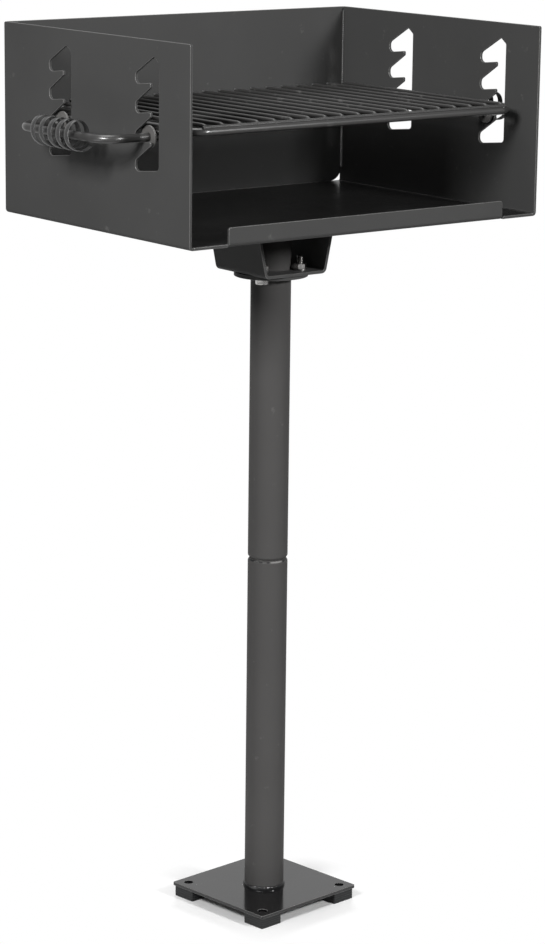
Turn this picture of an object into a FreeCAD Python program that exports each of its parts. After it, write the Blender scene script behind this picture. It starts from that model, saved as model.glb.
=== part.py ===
import FreeCAD, Part
import math
import os
import Sketcher

# Park barbecue grill on a pedestal post.
# Millimetres. +Z is up, -Y is the open front of the firebox, +X is its right side seen from the front.
# The origin is on the post's axis, on the ground under the feet.

doc = FreeCAD.newDocument("park_grill")
sheet = doc.addObject("Spreadsheet::Sheet", "Sizes")

# Driving dimensions: alias, value, meaning
SIZES = [
    ("plate_side", 200.0, "square base plate, side"),
    ("plate_thick", 5.0, "base plate, thickness"),
    ("plate_turn", 6.45, "base plate turned about the post, degrees"),
    ("plate_corner", 3.0, "base plate, corner radius"),
    ("anchor_pitch", 165.0, "anchor holes, centre to centre along a side"),
    ("anchor_hole", 14.0, "anchor hole, diameter"),
    ("foot_side", 40.0, "square foot, side"),
    ("foot_height", 17.0, "square foot, height"),
    ("foot_inset", 5.0, "foot's centre set in from its anchor hole, each way"),
    ("foot_corner", 2.0, "foot, corner radius"),
    ("post_outer", 60.3, "post tube, outside diameter"),
    ("post_wall", 3.9, "post tube, wall"),
    ("post_split", 523.0, "plate top to the joint between the post's halves"),
    ("split_bevel_deep", 2.6, "bevel at the joint, depth into the wall"),
    ("split_bevel_high", 3.6, "bevel at the joint, height on each half"),
    ("base_weld_leg", 2.4, "weld between post and base plate, width on the plate"),
    ("base_weld_high", 6.0, "weld between post and base plate, height on the post"),
    ("weld_fullness", 0.62, "middle of a weld round the post, share of its leg"),
    ("spigot_insert", 90.0, "spigot pressed into the lower post, length"),
    ("spigot_reach", 110.0, "spigot standing up into the upper post, length"),
    ("spigot_wall", 3.6, "spigot, wall"),
    ("swivel_clearance", 0.3, "radial clearance of spigot in the upper post"),
    ("web_height", 959.0, "plate top to the underside of the saddle's web"),
    ("flange_diameter", 110.0, "round flange welded on the post, diameter"),
    ("flange_thick", 6.0, "round flange, thickness"),
    ("flange_weld_leg", 5.0, "weld under the flange, leg"),
    ("bolt_circle", 90.0, "flange bolts, pitch circle diameter"),
    ("bolt_turn", 35.0, "first flange bolt, angle from the right, degrees"),
    ("bolt_count", 4, "bolts and studs in the circle"),
    ("head_count", 2, "bolts with a head below the flange, the others are studs"),
    ("bolt_shank", 10.0, "flange bolt, shank diameter"),
    ("bolt_play", 0.5, "radial play of a bolt in its hole"),
    ("bolt_head_high", 7.0, "flange bolt, head height"),
    ("hex_flats", 17.0, "bolt head and nut, width across flats"),
    ("bolt_spare", 11.0, "flange bolt, thread standing above the nut"),
    ("nut_high", 8.0, "nut, height"),
    ("washer_outer", 20.0, "washer, outside diameter"),
    ("washer_thick", 2.0, "washer, thickness"),
    ("saddle_width", 112.0, "saddle bracket's web, outside width"),
    ("saddle_depth", 120.0, "saddle bracket, depth front to rear"),
    ("saddle_height", 85.0, "saddle bracket, underside of web to firebox floor"),
    ("saddle_splay", 12.0, "saddle flanges lean outwards, degrees"),
    ("saddle_sheet", 4.5, "saddle bracket, sheet thickness"),
    ("saddle_bend", 4.5, "saddle bracket, inside bend radius"),
    ("saddle_play", 1.0, "radial play of the post in the saddle's hole"),
    ("saddle_weld_leg", 4.0, "welds between saddle and floor, leg"),
    ("post_top_gap", 3.0, "post's top end to the firebox floor"),
    ("box_width", 634.0, "firebox, outside width"),
    ("box_depth", 457.0, "firebox, outside depth"),
    ("box_height", 278.0, "firebox, outside height"),
    ("box_sheet", 4.0, "firebox, sheet thickness"),
    ("box_bend", 2.0, "firebox, inside bend radius"),
    ("bend_flat", 1.5, "flat of the floor that stays with each side's bend"),
    ("wall_corner", 3.0, "side walls, top corner radius"),
    ("lip_width", 500.0, "front lip, width"),
    ("lip_height", 27.0, "front lip, height over the floor's underside"),
    ("lip_corner", 4.0, "front lip, corner radius"),
    ("lip_relief", 1.5, "relief cut beside each end of the lip, width"),
    ("back_corner", 22.0, "back panel, radius of its open bottom corners"),
    ("seam_weld_leg", 3.0, "welds in the rear corners, leg"),
    ("slot_front", 72.0, "front edge of firebox to the front slot"),
    ("slot_spacing", 212.3, "front slot to rear slot"),
    ("channel_width", 20.0, "slot's vertical channel, width to the tooth tips"),
    ("notch_depth", 35.5, "tooth tips to the backs of the notches"),
    ("notch_pitch", 40.0, "height of one grate level"),
    ("notch_count", 4, "grate levels"),
    ("notch_first", 215.5, "floor underside to the top notch's floor at its back"),
    ("notch_back", 15.0, "height of a notch at its back"),
    ("notch_round", 7.5, "radius in the notch backs"),
    ("notch_rise", 6.2, "notch floors rise towards their mouths, degrees"),
    ("tooth_tip", 6.4, "tooth, thickness at its tip"),
    ("tooth_round", 2.4, "tooth tip, corner radius"),
    ("slot_shoulder", 31.5, "slot's front shoulder above the top notch's floor"),
    ("slot_apex_high", 40.0, "slot's apex above the top notch's floor"),
    ("slot_apex_run", 12.0, "slot's apex behind its front edge"),
    ("slot_round", 3.0, "radius at the slot's shoulder and apex"),
    ("slot_foot_round", 6.0, "radius at the slot's lower front corner"),
    ("leg_rod", 12.0, "handle rod, diameter"),
    ("leg_back", 36.0, "handle leg's centre behind the slot's front edge"),
    ("leg_level", 2, "notch that the grate rests in, counted from the top one as 0"),
    ("leg_play", 0.3, "handle leg above the notch floor"),
    ("handle_reach", 65.0, "wall's outside to the handle's centre line"),
    ("handle_bend", 28.0, "handle, bend radius of the centre line"),
    ("leg_inside", 46.0, "handle leg's end inside the wall's inner face"),
    ("keeper_diameter", 32.0, "keeper disc, diameter"),
    ("keeper_thick", 3.0, "keeper disc, thickness"),
    ("keeper_gap", 4.0, "keeper disc to the wall's inner face"),
    ("frame_rod", 11.0, "grate frame rod, diameter"),
    ("frame_width", 590.0, "grate frame, outside width"),
    ("frame_depth", 383.0, "grate frame, outside depth"),
    ("frame_bend", 25.0, "grate frame, corner radius of the centre line"),
    ("leg_weld_gap", 0.4, "handle leg to the grate frame, filled by the weld"),
    ("leg_weld_width", 17.0, "weld between leg and frame, diameter"),
    ("leg_weld_high", 5.0, "weld between leg and frame, height"),
    ("bar_rod", 6.0, "cooking bar, diameter"),
    ("bar_count", 19, "cooking bars"),
    ("bar_pitch", 30.0, "cooking bars, centre to centre"),
    ("bar_overhang", 4.0, "cooking bar's end past the frame rod's centre"),
    ("grip_outer", 43.5, "coil grip, outside diameter"),
    ("grip_thick", 1.5, "coil grip, thickness of its flat strip"),
    ("grip_wide", 10.0, "coil grip, width of its flat strip"),
    ("grip_pitch", 20.8, "coil grip, pitch"),
    ("grip_turns", 5, "coil grip, turns"),
    ("grip_start", 134.0, "coil grip, its free front end round the rod from the top, degrees"),
]
for row, (alias, figure, meaning) in enumerate(SIZES, start=1):
    sheet.set("A%d" % row, meaning)
    sheet.set("B%d" % row, str(figure))
    sheet.setAlias("B%d" % row, alias)

# Worked sizes: alias, formula. Each is a height, place or radius that several pieces share.
WORKED = [
    ("plate_top", "=foot_height + plate_thick"),
    ("split_top", "=plate_top + post_split"),
    ("web_under", "=plate_top + web_height"),
    ("floor_under", "=web_under + saddle_height"),
    ("floor_top", "=floor_under + box_sheet"),
    ("box_top", "=floor_under + box_height"),
    ("post_radius", "=post_outer / 2"),
    ("post_bore", "=post_radius - post_wall"),
    ("wall_outside", "=box_width / 2"),
    ("wall_inside", "=wall_outside - box_sheet"),
    ("pan_edge", "=wall_inside - box_bend - bend_flat"),
    ("box_front", "=-box_depth / 2"),
    ("box_rear", "=box_depth / 2"),
    ("bend_outside", "=box_bend + box_sheet"),
    ("tip_behind", "=channel_width + notch_depth"),
    ("notch_climb", "=notch_depth * tan(notch_rise * 1deg)"),
    ("top_notch", "=floor_under + notch_first"),
    ("saddle_top_half", "=saddle_width / 2 + saddle_height * tan(saddle_splay * 1deg)"),
    ("saddle_slant", "=saddle_sheet / cos(saddle_splay * 1deg)"),
    ("saddle_web_half", "=saddle_width / 2 + saddle_sheet * tan(saddle_splay * 1deg) - saddle_slant"),
    ("leg_front", "=box_front + slot_front + leg_back"),
    ("leg_rear", "=leg_front + slot_spacing"),
    ("leg_over_back", "=(tip_behind - leg_back) * tan(notch_rise * 1deg)"),
    ("leg_lift", "=leg_over_back + (leg_rod / 2 + leg_play) / cos(notch_rise * 1deg)"),
    ("leg_height", "=top_notch - leg_level * notch_pitch + leg_lift"),
    ("handle_middle", "=(leg_front + leg_rear) / 2"),
    ("handle_line", "=wall_outside + handle_reach"),
    ("leg_end", "=wall_inside - leg_inside"),
    ("frame_height", "=leg_height + leg_rod / 2 + leg_weld_gap + frame_rod / 2"),
    ("frame_side_line", "=frame_width / 2 - frame_rod / 2"),
    ("frame_half_deep", "=frame_depth / 2 - frame_rod / 2"),
    ("bar_height", "=frame_height + frame_rod / 2 + bar_rod / 2"),
    ("bar_half", "=frame_half_deep + bar_overhang"),
    ("bolt_radius", "=bolt_circle / 2"),
    ("hole_radius", "=bolt_shank / 2 + bolt_play"),
    ("web_top", "=web_under + saddle_sheet"),
    ("anchor_place", "=anchor_pitch / 2"),
    ("foot_outer", "=anchor_place - foot_inset + foot_side / 2"),
    ("foot_inner", "=foot_outer - foot_side"),
]
for row, (alias, formula) in enumerate(WORKED, start=len(SIZES) + 1):
    sheet.set("B%d" % row, formula)
    sheet.setAlias("B%d" % row, alias)
doc.recompute()
ALIASES = [entry[0] for entry in SIZES + WORKED]

# Axes of a shape, and how a sketch numbers the points of its lines and arcs
ALONG_X, ALONG_Y, ALONG_Z = 0, 1, 2
START, END, CENTRE = range(1, 4)


def full(text):
    """The same formula with each of the sheet's names written as Sizes.name."""
    words = []
    word = ""
    for letter in text + " ":
        if letter.isalnum() or letter == "_":
            word += letter
            continue
        words.append("Sizes." + word if word in ALIASES else word)
        words.append(letter)
        word = ""
    return "".join(words).strip()


def number(text):
    """Value of a formula in the sheet's names."""
    result = sheet.evalExpression(full(text))
    return float(getattr(result, "Value", result))


def new_body(node):
    """An empty body that becomes one node."""
    body = doc.addObject("PartDesign::Body", node)
    body.Label = node
    return body


def origin_part(body, role):
    """The body's own origin plane or axis with this role."""
    return [item for item in body.Origin.OriginFeatures if item.Role == role][0]


def new_sketch(body, name, role, offset=None):
    """A sketch on one of the body's origin planes, moved along its normal by a formula."""
    sketch = body.newObject("Sketcher::SketchObject", name)
    sketch.AttachmentSupport = [(origin_part(body, role), "")]
    sketch.MapMode = "FlatFace"
    if offset:
        sketch.setExpression("AttachmentOffset.Base.z", full(offset))
    return sketch


def fix_point(sketch, geometry, corner, across, up):
    """Tie a point of the sketch to its two formulas."""
    level_axis, upright_axis = -1, -2
    for kind, axis, text in (("DistanceX", upright_axis, across), ("DistanceY", level_axis, up)):
        if text == "0":
            sketch.addConstraint(Sketcher.Constraint("PointOnObject", geometry, corner, axis))
            continue
        from_origin = Sketcher.Constraint(kind, level_axis, START, geometry, corner, number(text))
        index = sketch.addConstraint(from_origin)
        sketch.setExpression("Constraints[%d]" % index, full(text))


def draw_outline(sketch, points, closed=True):
    """Straight lines through points whose places are formulas."""
    places = [FreeCAD.Vector(number(across), number(up), 0) for across, up in points]
    count = len(points) if closed else len(points) - 1
    for i in range(count):
        sketch.addGeometry(Part.LineSegment(places[i], places[(i + 1) % len(points)]), False)
    for i in range(count if closed else count - 1):
        sketch.addConstraint(Sketcher.Constraint("Coincident", i, END, (i + 1) % count, START))
    for i in range(count):
        fix_point(sketch, i, START, *points[i])
    if not closed:
        fix_point(sketch, count - 1, END, *points[-1])


def draw_circle(sketch, across, up, radius):
    """A circle whose centre and radius are formulas."""
    centre = FreeCAD.Vector(number(across), number(up), 0)
    index = sketch.addGeometry(Part.Circle(centre, FreeCAD.Vector(0, 0, 1), number(radius)), False)
    fix_point(sketch, index, CENTRE, across, up)
    size = sketch.addConstraint(Sketcher.Constraint("Radius", index, number(radius)))
    sketch.setExpression("Constraints[%d]" % size, full(radius))


def rectangle(x_low, x_high, y_low, y_high):
    """The four corners of a rectangle, as formulas."""
    return [(x_low, y_low), (x_high, y_low), (x_high, y_high), (x_low, y_high)]


def pad(body, sketch, length, both_ways=False):
    """Extrude a sketch along its normal."""
    feature = body.newObject("PartDesign::Pad", sketch.Name + "_pad")
    feature.Profile = sketch
    feature.setExpression("Length", full(length))
    if both_ways:
        feature.SideType = "Symmetric"
    doc.recompute()
    return feature


def cut_through(body, sketch):
    """Cut a sketch through the whole body, both ways, and check that it took something away."""
    before = body.Shape.Volume
    feature = body.newObject("PartDesign::Pocket", sketch.Name + "_cut")
    feature.Profile = sketch
    feature.Type = "ThroughAll"
    feature.SideType = "Symmetric"
    doc.recompute()
    if not body.Shape.Volume < before - 1e-3:
        raise RuntimeError("%s cuts nothing" % sketch.Name)
    return feature


def turned(node, points):
    """A piece of revolution about the post's axis: points are radius and height."""
    body = new_body(node)
    profile = new_sketch(body, node + "_profile", "XZ_Plane")
    draw_outline(profile, points)
    feature = body.newObject("PartDesign::Revolution", node + "_turn")
    feature.Profile = profile
    feature.ReferenceAxis = (profile, ["V_Axis"])
    feature.Angle = 360
    doc.recompute()
    return body


def around_post(body, features, count):
    """Repeat features evenly about the post's axis."""
    pattern = body.newObject("PartDesign::PolarPattern", body.Name + "_ring")
    pattern.Originals = features
    pattern.Axis = (origin_part(body, "Z_Axis"), [""])
    pattern.Angle = 360
    pattern.setExpression("Occurrences", full(count))
    body.Tip = pattern
    doc.recompute()
    return pattern


def edges_at(shape, along, first, second, shortest):
    """Names of straight edges along an axis that pass a place: the two other coordinates."""
    others = [axis for axis in range(3) if axis != along]
    names = []
    for index, edge in enumerate(shape.Edges, start=1):
        low, high = edge.Vertexes[0].Point, edge.Vertexes[-1].Point
        if edge.Curve.TypeId != "Part::GeomLine" or edge.Length < shortest:
            continue
        misses = [abs(point[axis] - wanted) for point in (low, high)
                  for axis, wanted in zip(others, (first, second))]
        if max(misses) < 1e-3:
            names.append("Edge%d" % index)
    return names


def round_edges(body, along, places, radius, shortest=0):
    """Fillet the straight edges that pass the given places."""
    base = body.Tip
    names = []
    for first, second in places:
        names += edges_at(base.Shape, along, number(first), number(second), shortest)
    if not names:
        raise RuntimeError("%s has no such edge" % body.Name)
    fillet = body.newObject("PartDesign::Fillet", "%s_round" % body.Name)
    fillet.Base = (base, names)
    fillet.setExpression("Radius", full(radius))
    doc.recompute()
    return fillet


# Base plate, turned a little about the post as it stands
base_plate = new_body("base_plate")
plate_outline = new_sketch(base_plate, "plate_outline", "XY_Plane", "foot_height")
half_plate = "plate_side / 2"
draw_outline(plate_outline, rectangle("-" + half_plate, half_plate, "-" + half_plate, half_plate))
pad(base_plate, plate_outline, "plate_thick")
anchor_holes = new_sketch(base_plate, "anchor_holes", "XY_Plane")
QUARTERS = [("rear_right", "", ""), ("rear_left", "-", ""), ("front_left", "-", "-"), ("front_right", "", "-")]
for corner, side_sign, depth_sign in QUARTERS:
    draw_circle(anchor_holes, side_sign + "anchor_place", depth_sign + "anchor_place", "anchor_hole / 2")
cut_through(base_plate, anchor_holes)
round_edges(base_plate, ALONG_Z, [(side_sign + half_plate, depth_sign + half_plate)
                                  for corner, side_sign, depth_sign in QUARTERS], "plate_corner")
base_plate.Placement = FreeCAD.Placement(FreeCAD.Vector(), FreeCAD.Rotation(FreeCAD.Vector(0, 0, 1), 1))
base_plate.setExpression("Placement.Rotation.Angle", full("plate_turn * 1deg"))

# Four square feet under the plate's corners, each bored for its anchor
feet = []
for corner, side_sign, depth_sign in QUARTERS:
    foot = new_body("foot_" + corner)
    foot_outline = new_sketch(foot, corner + "_outline", "XY_Plane")
    outer_x, inner_x = side_sign + "foot_outer", side_sign + "foot_inner"
    outer_y, inner_y = depth_sign + "foot_outer", depth_sign + "foot_inner"
    draw_outline(foot_outline, rectangle(inner_x, outer_x, inner_y, outer_y))
    pad(foot, foot_outline, "foot_height")
    foot_bore = new_sketch(foot, corner + "_bore", "XY_Plane")
    draw_circle(foot_bore, side_sign + "anchor_place", depth_sign + "anchor_place", "anchor_hole / 2")
    cut_through(foot, foot_bore)
    round_edges(foot, ALONG_Z, [(inner_x, inner_y), (inner_x, outer_y), (outer_x, inner_y), (outer_x, outer_y)],
                "foot_corner")
    foot.Placement = FreeCAD.Placement(FreeCAD.Vector(), FreeCAD.Rotation(FreeCAD.Vector(0, 0, 1), 1))
    foot.setExpression("Placement.Rotation.Angle", full("plate_turn * 1deg"))
    feet.append(foot)

# Post in two halves, bevelled where they meet
lower_post = turned("lower_post", [
    ("post_bore", "plate_top"), ("post_radius", "plate_top"),
    ("post_radius", "split_top - split_bevel_high"), ("post_radius - split_bevel_deep", "split_top"),
    ("post_bore", "split_top")])
upper_post = turned("upper_post", [
    ("post_bore", "split_top"), ("post_radius - split_bevel_deep", "split_top"),
    ("post_radius", "split_top + split_bevel_high"), ("post_radius", "floor_under - post_top_gap"),
    ("post_bore", "floor_under - post_top_gap")])

# Spigot inside the joint: pressed into the lower half, running in the upper one
post_spigot = turned("post_spigot", [
    ("post_bore - spigot_wall", "split_top - spigot_insert"), ("post_bore", "split_top - spigot_insert"),
    ("post_bore", "split_top"), ("post_bore - swivel_clearance", "split_top"),
    ("post_bore - swivel_clearance", "split_top + spigot_reach"),
    ("post_bore - spigot_wall", "split_top + spigot_reach")])

base_weld = turned("base_weld", [
    ("post_radius", "plate_top"), ("post_radius + base_weld_leg", "plate_top"),
    ("post_radius + base_weld_leg * weld_fullness", "plate_top + base_weld_high * weld_fullness"),
    ("post_radius", "plate_top + base_weld_high")])

# Round flange welded on the upper post, bolted under the saddle
post_flange = turned("post_flange", [
    ("post_radius", "web_under - flange_thick"), ("flange_diameter / 2", "web_under - flange_thick"),
    ("flange_diameter / 2", "web_under"), ("post_radius", "web_under")])
FIRST_BOLT = ("bolt_radius * cos(bolt_turn * 1deg)", "bolt_radius * sin(bolt_turn * 1deg)")
flange_hole = new_sketch(post_flange, "flange_hole", "XY_Plane")
draw_circle(flange_hole, FIRST_BOLT[0], FIRST_BOLT[1], "hole_radius")
around_post(post_flange, [cut_through(post_flange, flange_hole)], "bolt_count")

flange_weld = turned("flange_weld", [
    ("post_radius", "web_under - flange_thick - flange_weld_leg"),
    ("post_radius + flange_weld_leg * weld_fullness", "web_under - flange_thick - flange_weld_leg * weld_fullness"),
    ("post_radius + flange_weld_leg", "web_under - flange_thick"), ("post_radius", "web_under - flange_thick")])

# Saddle bracket: a folded strip open to front and rear, its flanges splayed up to the floor
saddle_bracket = new_body("saddle_bracket")
saddle_section = new_sketch(saddle_bracket, "saddle_section", "XZ_Plane")
draw_outline(saddle_section, [
    ("-saddle_top_half", "floor_under"), ("-saddle_width / 2", "web_under"),
    ("saddle_width / 2", "web_under"), ("saddle_top_half", "floor_under"),
    ("saddle_top_half - saddle_slant", "floor_under"), ("saddle_web_half", "web_top"),
    ("-saddle_web_half", "web_top"), ("-(saddle_top_half - saddle_slant)", "floor_under")])
pad(saddle_bracket, saddle_section, "saddle_depth", both_ways=True)
round_edges(saddle_bracket, ALONG_Y, [("saddle_web_half", "web_top"), ("-saddle_web_half", "web_top")],
            "saddle_bend")
round_edges(saddle_bracket, ALONG_Y, [("saddle_width / 2", "web_under"), ("-saddle_width / 2", "web_under")],
            "saddle_bend + saddle_sheet")
post_hole = new_sketch(saddle_bracket, "post_hole", "XY_Plane")
draw_circle(post_hole, "0", "0", "post_radius + saddle_play")
cut_through(saddle_bracket, post_hole)
saddle_hole = new_sketch(saddle_bracket, "saddle_hole", "XY_Plane")
draw_circle(saddle_hole, FIRST_BOLT[0], FIRST_BOLT[1], "hole_radius")
around_post(saddle_bracket, [cut_through(saddle_bracket, saddle_hole)], "bolt_count")

for side, sign in (("left", "-"), ("right", "")):
    weld = new_body("saddle_weld_" + side)
    weld_section = new_sketch(weld, "saddle_weld_section_" + side, "XZ_Plane")
    draw_outline(weld_section, [
        (sign + "saddle_top_half", "floor_under"), (sign + "(saddle_top_half + saddle_weld_leg)", "floor_under"),
        (sign + "(saddle_top_half - saddle_weld_leg * sin(saddle_splay * 1deg))",
         "floor_under - saddle_weld_leg * cos(saddle_splay * 1deg)")])
    pad(weld, weld_section, "saddle_depth", both_ways=True)


def hexagon(sketch, across, up, flats):
    """A hexagon of a given width across flats about a centre, all formulas."""
    corners = []
    for i in range(6):
        corners.append((
            "%s + %s / sqrt(3) * cos(%ddeg + bolt_turn * 1deg)" % (across, flats, 60 * i),
            "%s + %s / sqrt(3) * sin(%ddeg + bolt_turn * 1deg)" % (up, flats, 60 * i)))
    draw_outline(sketch, corners)


# Flange bolts and studs in turn: heads below the flange, washers and nuts above the web
flange_bolts = new_body("flange_bolts")
bolt_head = new_sketch(flange_bolts, "bolt_head", "XY_Plane", "web_under - flange_thick - bolt_head_high")
hexagon(bolt_head, FIRST_BOLT[0], FIRST_BOLT[1], "hex_flats")
around_post(flange_bolts, [pad(flange_bolts, bolt_head, "bolt_head_high")], "head_count")
bolt_shank = new_sketch(flange_bolts, "bolt_shank_round", "XY_Plane", "web_under - flange_thick")
draw_circle(bolt_shank, FIRST_BOLT[0], FIRST_BOLT[1], "bolt_shank / 2")
shank = pad(flange_bolts, bolt_shank,
            "flange_thick + saddle_sheet + washer_thick + nut_high + bolt_spare")
around_post(flange_bolts, [shank], "bolt_count")

flange_washers = new_body("flange_washers")
washer_ring = new_sketch(flange_washers, "washer_ring", "XY_Plane", "web_top")
draw_circle(washer_ring, FIRST_BOLT[0], FIRST_BOLT[1], "washer_outer / 2")
draw_circle(washer_ring, FIRST_BOLT[0], FIRST_BOLT[1], "hole_radius")
around_post(flange_washers, [pad(flange_washers, washer_ring, "washer_thick")], "bolt_count")

flange_nuts = new_body("flange_nuts")
nut_outline = new_sketch(flange_nuts, "nut_outline", "XY_Plane", "web_top + washer_thick")
hexagon(nut_outline, FIRST_BOLT[0], FIRST_BOLT[1], "hex_flats")
draw_circle(nut_outline, FIRST_BOLT[0], FIRST_BOLT[1], "bolt_shank / 2")
around_post(flange_nuts, [pad(flange_nuts, nut_outline, "nut_high")], "bolt_count")

# Firebox floor with its front lip folded up
floor_pan = new_body("floor_pan")
floor_outline = new_sketch(floor_pan, "floor_outline", "XY_Plane", "floor_under")
lip_end = "(lip_width / 2 + lip_relief)"
draw_outline(floor_outline, [
    ("-pan_edge", "box_front"), ("-" + lip_end, "box_front"),
    ("-" + lip_end, "box_front + bend_outside"), (lip_end, "box_front + bend_outside"),
    (lip_end, "box_front"), ("pan_edge", "box_front"), ("pan_edge", "box_rear"), ("-pan_edge", "box_rear")])
pad(floor_pan, floor_outline, "box_sheet")
lip_section = new_sketch(floor_pan, "lip_section", "YZ_Plane")
draw_outline(lip_section, [
    ("box_front + bend_outside", "floor_under"), ("box_front", "floor_under"),
    ("box_front", "floor_under + lip_height"), ("box_front + box_sheet", "floor_under + lip_height"),
    ("box_front + box_sheet", "floor_top"), ("box_front + bend_outside", "floor_top")])
pad(floor_pan, lip_section, "lip_width", both_ways=True)
round_edges(floor_pan, ALONG_X, [("box_front + box_sheet", "floor_top")], "box_bend")
round_edges(floor_pan, ALONG_X, [("box_front", "floor_under")], "bend_outside", number("lip_width / 2"))
round_edges(floor_pan, ALONG_Y, [("lip_width / 2", "floor_under + lip_height"),
                                 ("-lip_width / 2", "floor_under + lip_height")], "lip_corner")

# Back panel between the sides, its bottom corners rounded away
back_panel = new_body("back_panel")
back_outline = new_sketch(back_panel, "back_outline", "XZ_Plane", "-box_rear")
draw_outline(back_outline, rectangle("-wall_inside", "wall_inside", "floor_top", "box_top"))
pad(back_panel, back_outline, "box_sheet")
round_edges(back_panel, ALONG_Y, [("wall_inside", "floor_top"), ("-wall_inside", "floor_top")], "back_corner")


def slot_outline(front):
    """Toothed grate slot seen from the side, from its shoulder round, as formulas."""
    tip = front + " + channel_width"
    back = front + " + tip_behind"
    points = [(front, "top_notch + slot_shoulder"), (front + " + slot_apex_run", "top_notch + slot_apex_high")]
    levels = int(number("notch_count"))
    for level in range(levels):
        notch = "top_notch - %d * notch_pitch" % level
        points.append((back, notch + " + notch_back"))
        points.append((back, notch))
        if level < levels - 1:
            points.append((tip, notch + " + notch_climb"))
            points.append((tip, notch + " + notch_climb - tooth_tip"))
    points.append((front, notch + " + tip_behind * tan(notch_rise * 1deg)"))
    return points


# Side walls, each with its bottom bend and two toothed slots
SIDES = [("left", "-"), ("right", "")]
SLOTS = [("front", "box_front + slot_front"), ("rear", "box_front + slot_front + slot_spacing")]
for side, sign in SIDES:
    wall = new_body(side + "_side")
    wall_section = new_sketch(wall, side + "_section", "XZ_Plane")
    draw_outline(wall_section, [
        (sign + "pan_edge", "floor_under"), (sign + "wall_outside", "floor_under"),
        (sign + "wall_outside", "box_top"), (sign + "wall_inside", "box_top"),
        (sign + "wall_inside", "floor_top"), (sign + "pan_edge", "floor_top")])
    pad(wall, wall_section, "box_depth", both_ways=True)
    round_edges(wall, ALONG_Y, [(sign + "wall_inside", "floor_top")], "box_bend")
    round_edges(wall, ALONG_Y, [(sign + "wall_outside", "floor_under")], "bend_outside")
    round_edges(wall, ALONG_X, [("box_front", "box_top"), ("box_rear", "box_top")], "wall_corner")
    corners = []
    for place, front in SLOTS:
        slot = new_sketch(wall, "%s_%s_slot" % (side, place), "YZ_Plane")
        slot_points = slot_outline(front)
        draw_outline(slot, slot_points)
        cut_through(wall, slot)
        corners += slot_points
    shoulders = [point for point in corners if "slot_shoulder" in point[1] or "slot_apex_high" in point[1]]
    feet_of_slots = [point for point in corners if "tip_behind *" in point[1]]
    backs = [point for point in corners if point[0].endswith("tip_behind")]
    tips = [point for point in corners if point[0].endswith("channel_width")]
    round_edges(wall, ALONG_X, shoulders, "slot_round")
    round_edges(wall, ALONG_X, feet_of_slots, "slot_foot_round")
    round_edges(wall, ALONG_X, backs, "notch_round")
    round_edges(wall, ALONG_X, tips, "tooth_round")

    seam = new_body("corner_weld_" + side)
    seam_section = new_sketch(seam, "corner_weld_section_" + side, "XY_Plane", "floor_top + back_corner")
    draw_outline(seam_section, [
        (sign + "wall_inside", "box_rear - box_sheet"),
        (sign + "(wall_inside - seam_weld_leg)", "box_rear - box_sheet"),
        (sign + "wall_inside", "box_rear - box_sheet - seam_weld_leg")])
    pad(seam, seam_section, "box_height - box_sheet - back_corner - 2 * seam_weld_leg")


def bent_path(sketch, runs, radius, closed):
    """Straight runs joined by quarter turns of one radius. A run is its two ends, as formulas."""
    ends = []
    for run in runs:
        start, end = [FreeCAD.Vector(number(across), number(up), 0) for across, up in run]
        line = sketch.addGeometry(Part.LineSegment(start, end), False)
        fix_point(sketch, line, START, *run[0])
        fix_point(sketch, line, END, *run[1])
        ends.append((line, start, end))
    bend = number(radius)
    for i in range(len(runs) if closed else len(runs) - 1):
        line, start, end = ends[i]
        next_line, leave, beyond = ends[(i + 1) % len(runs)]
        ahead = (end - start).normalize()
        aside = (beyond - leave).normalize()
        centre = end + aside * bend
        middle = centre + (ahead - aside).normalize() * bend
        arc = sketch.addGeometry(Part.Arc(end, middle, leave), False)
        first, last = (START, END) if ahead.cross(aside).z > 0 else (END, START)
        sketch.addConstraint(Sketcher.Constraint("Coincident", line, END, arc, first))
        sketch.addConstraint(Sketcher.Constraint("Coincident", arc, last, next_line, START))
        size = sketch.addConstraint(Sketcher.Constraint("Radius", arc, bend))
        sketch.setExpression("Constraints[%d]" % size, full(radius))


def swept_rod(body, path, start, across, up, radius):
    """A round rod along a path sketch that starts along X: its circle stands at the path's start."""
    circle = new_sketch(body, body.Name + "_circle", "YZ_Plane", start)
    draw_circle(circle, across, up, radius)
    sweep = body.newObject("PartDesign::AdditivePipe", body.Name + "_sweep")
    sweep.Profile = circle
    sweep.Spine = path
    doc.recompute()


# Grate frame: one rod bent into a rounded rectangle round the cooking bars
grate_frame = new_body("grate_frame")
frame_path = new_sketch(grate_frame, "frame_path", "XY_Plane", "frame_height")
frame_front = "handle_middle - frame_half_deep"
frame_rear = "handle_middle + frame_half_deep"
bent_path(frame_path, [
    (("-(frame_side_line - frame_bend)", frame_front), ("frame_side_line - frame_bend", frame_front)),
    (("frame_side_line", frame_front + " + frame_bend"), ("frame_side_line", frame_rear + " - frame_bend")),
    (("frame_side_line - frame_bend", frame_rear), ("-(frame_side_line - frame_bend)", frame_rear)),
    (("-frame_side_line", frame_rear + " - frame_bend"), ("-frame_side_line", frame_front + " + frame_bend"))],
    "frame_bend", closed=True)
swept_rod(grate_frame, frame_path, "-(frame_side_line - frame_bend)", frame_front, "frame_height", "frame_rod / 2")

# Cooking bars laid across the frame from front to rear
for i in range(int(number("bar_count"))):
    bar = new_body("grate_bar_%02d" % (i + 1))
    bar_circle = new_sketch(bar, "bar_circle_%02d" % (i + 1), "XZ_Plane", "-handle_middle")
    draw_circle(bar_circle, "(%d - (bar_count - 1) / 2) * bar_pitch" % i, "bar_height", "bar_rod / 2")
    pad(bar, bar_circle, "2 * bar_half", both_ways=True)

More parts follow.
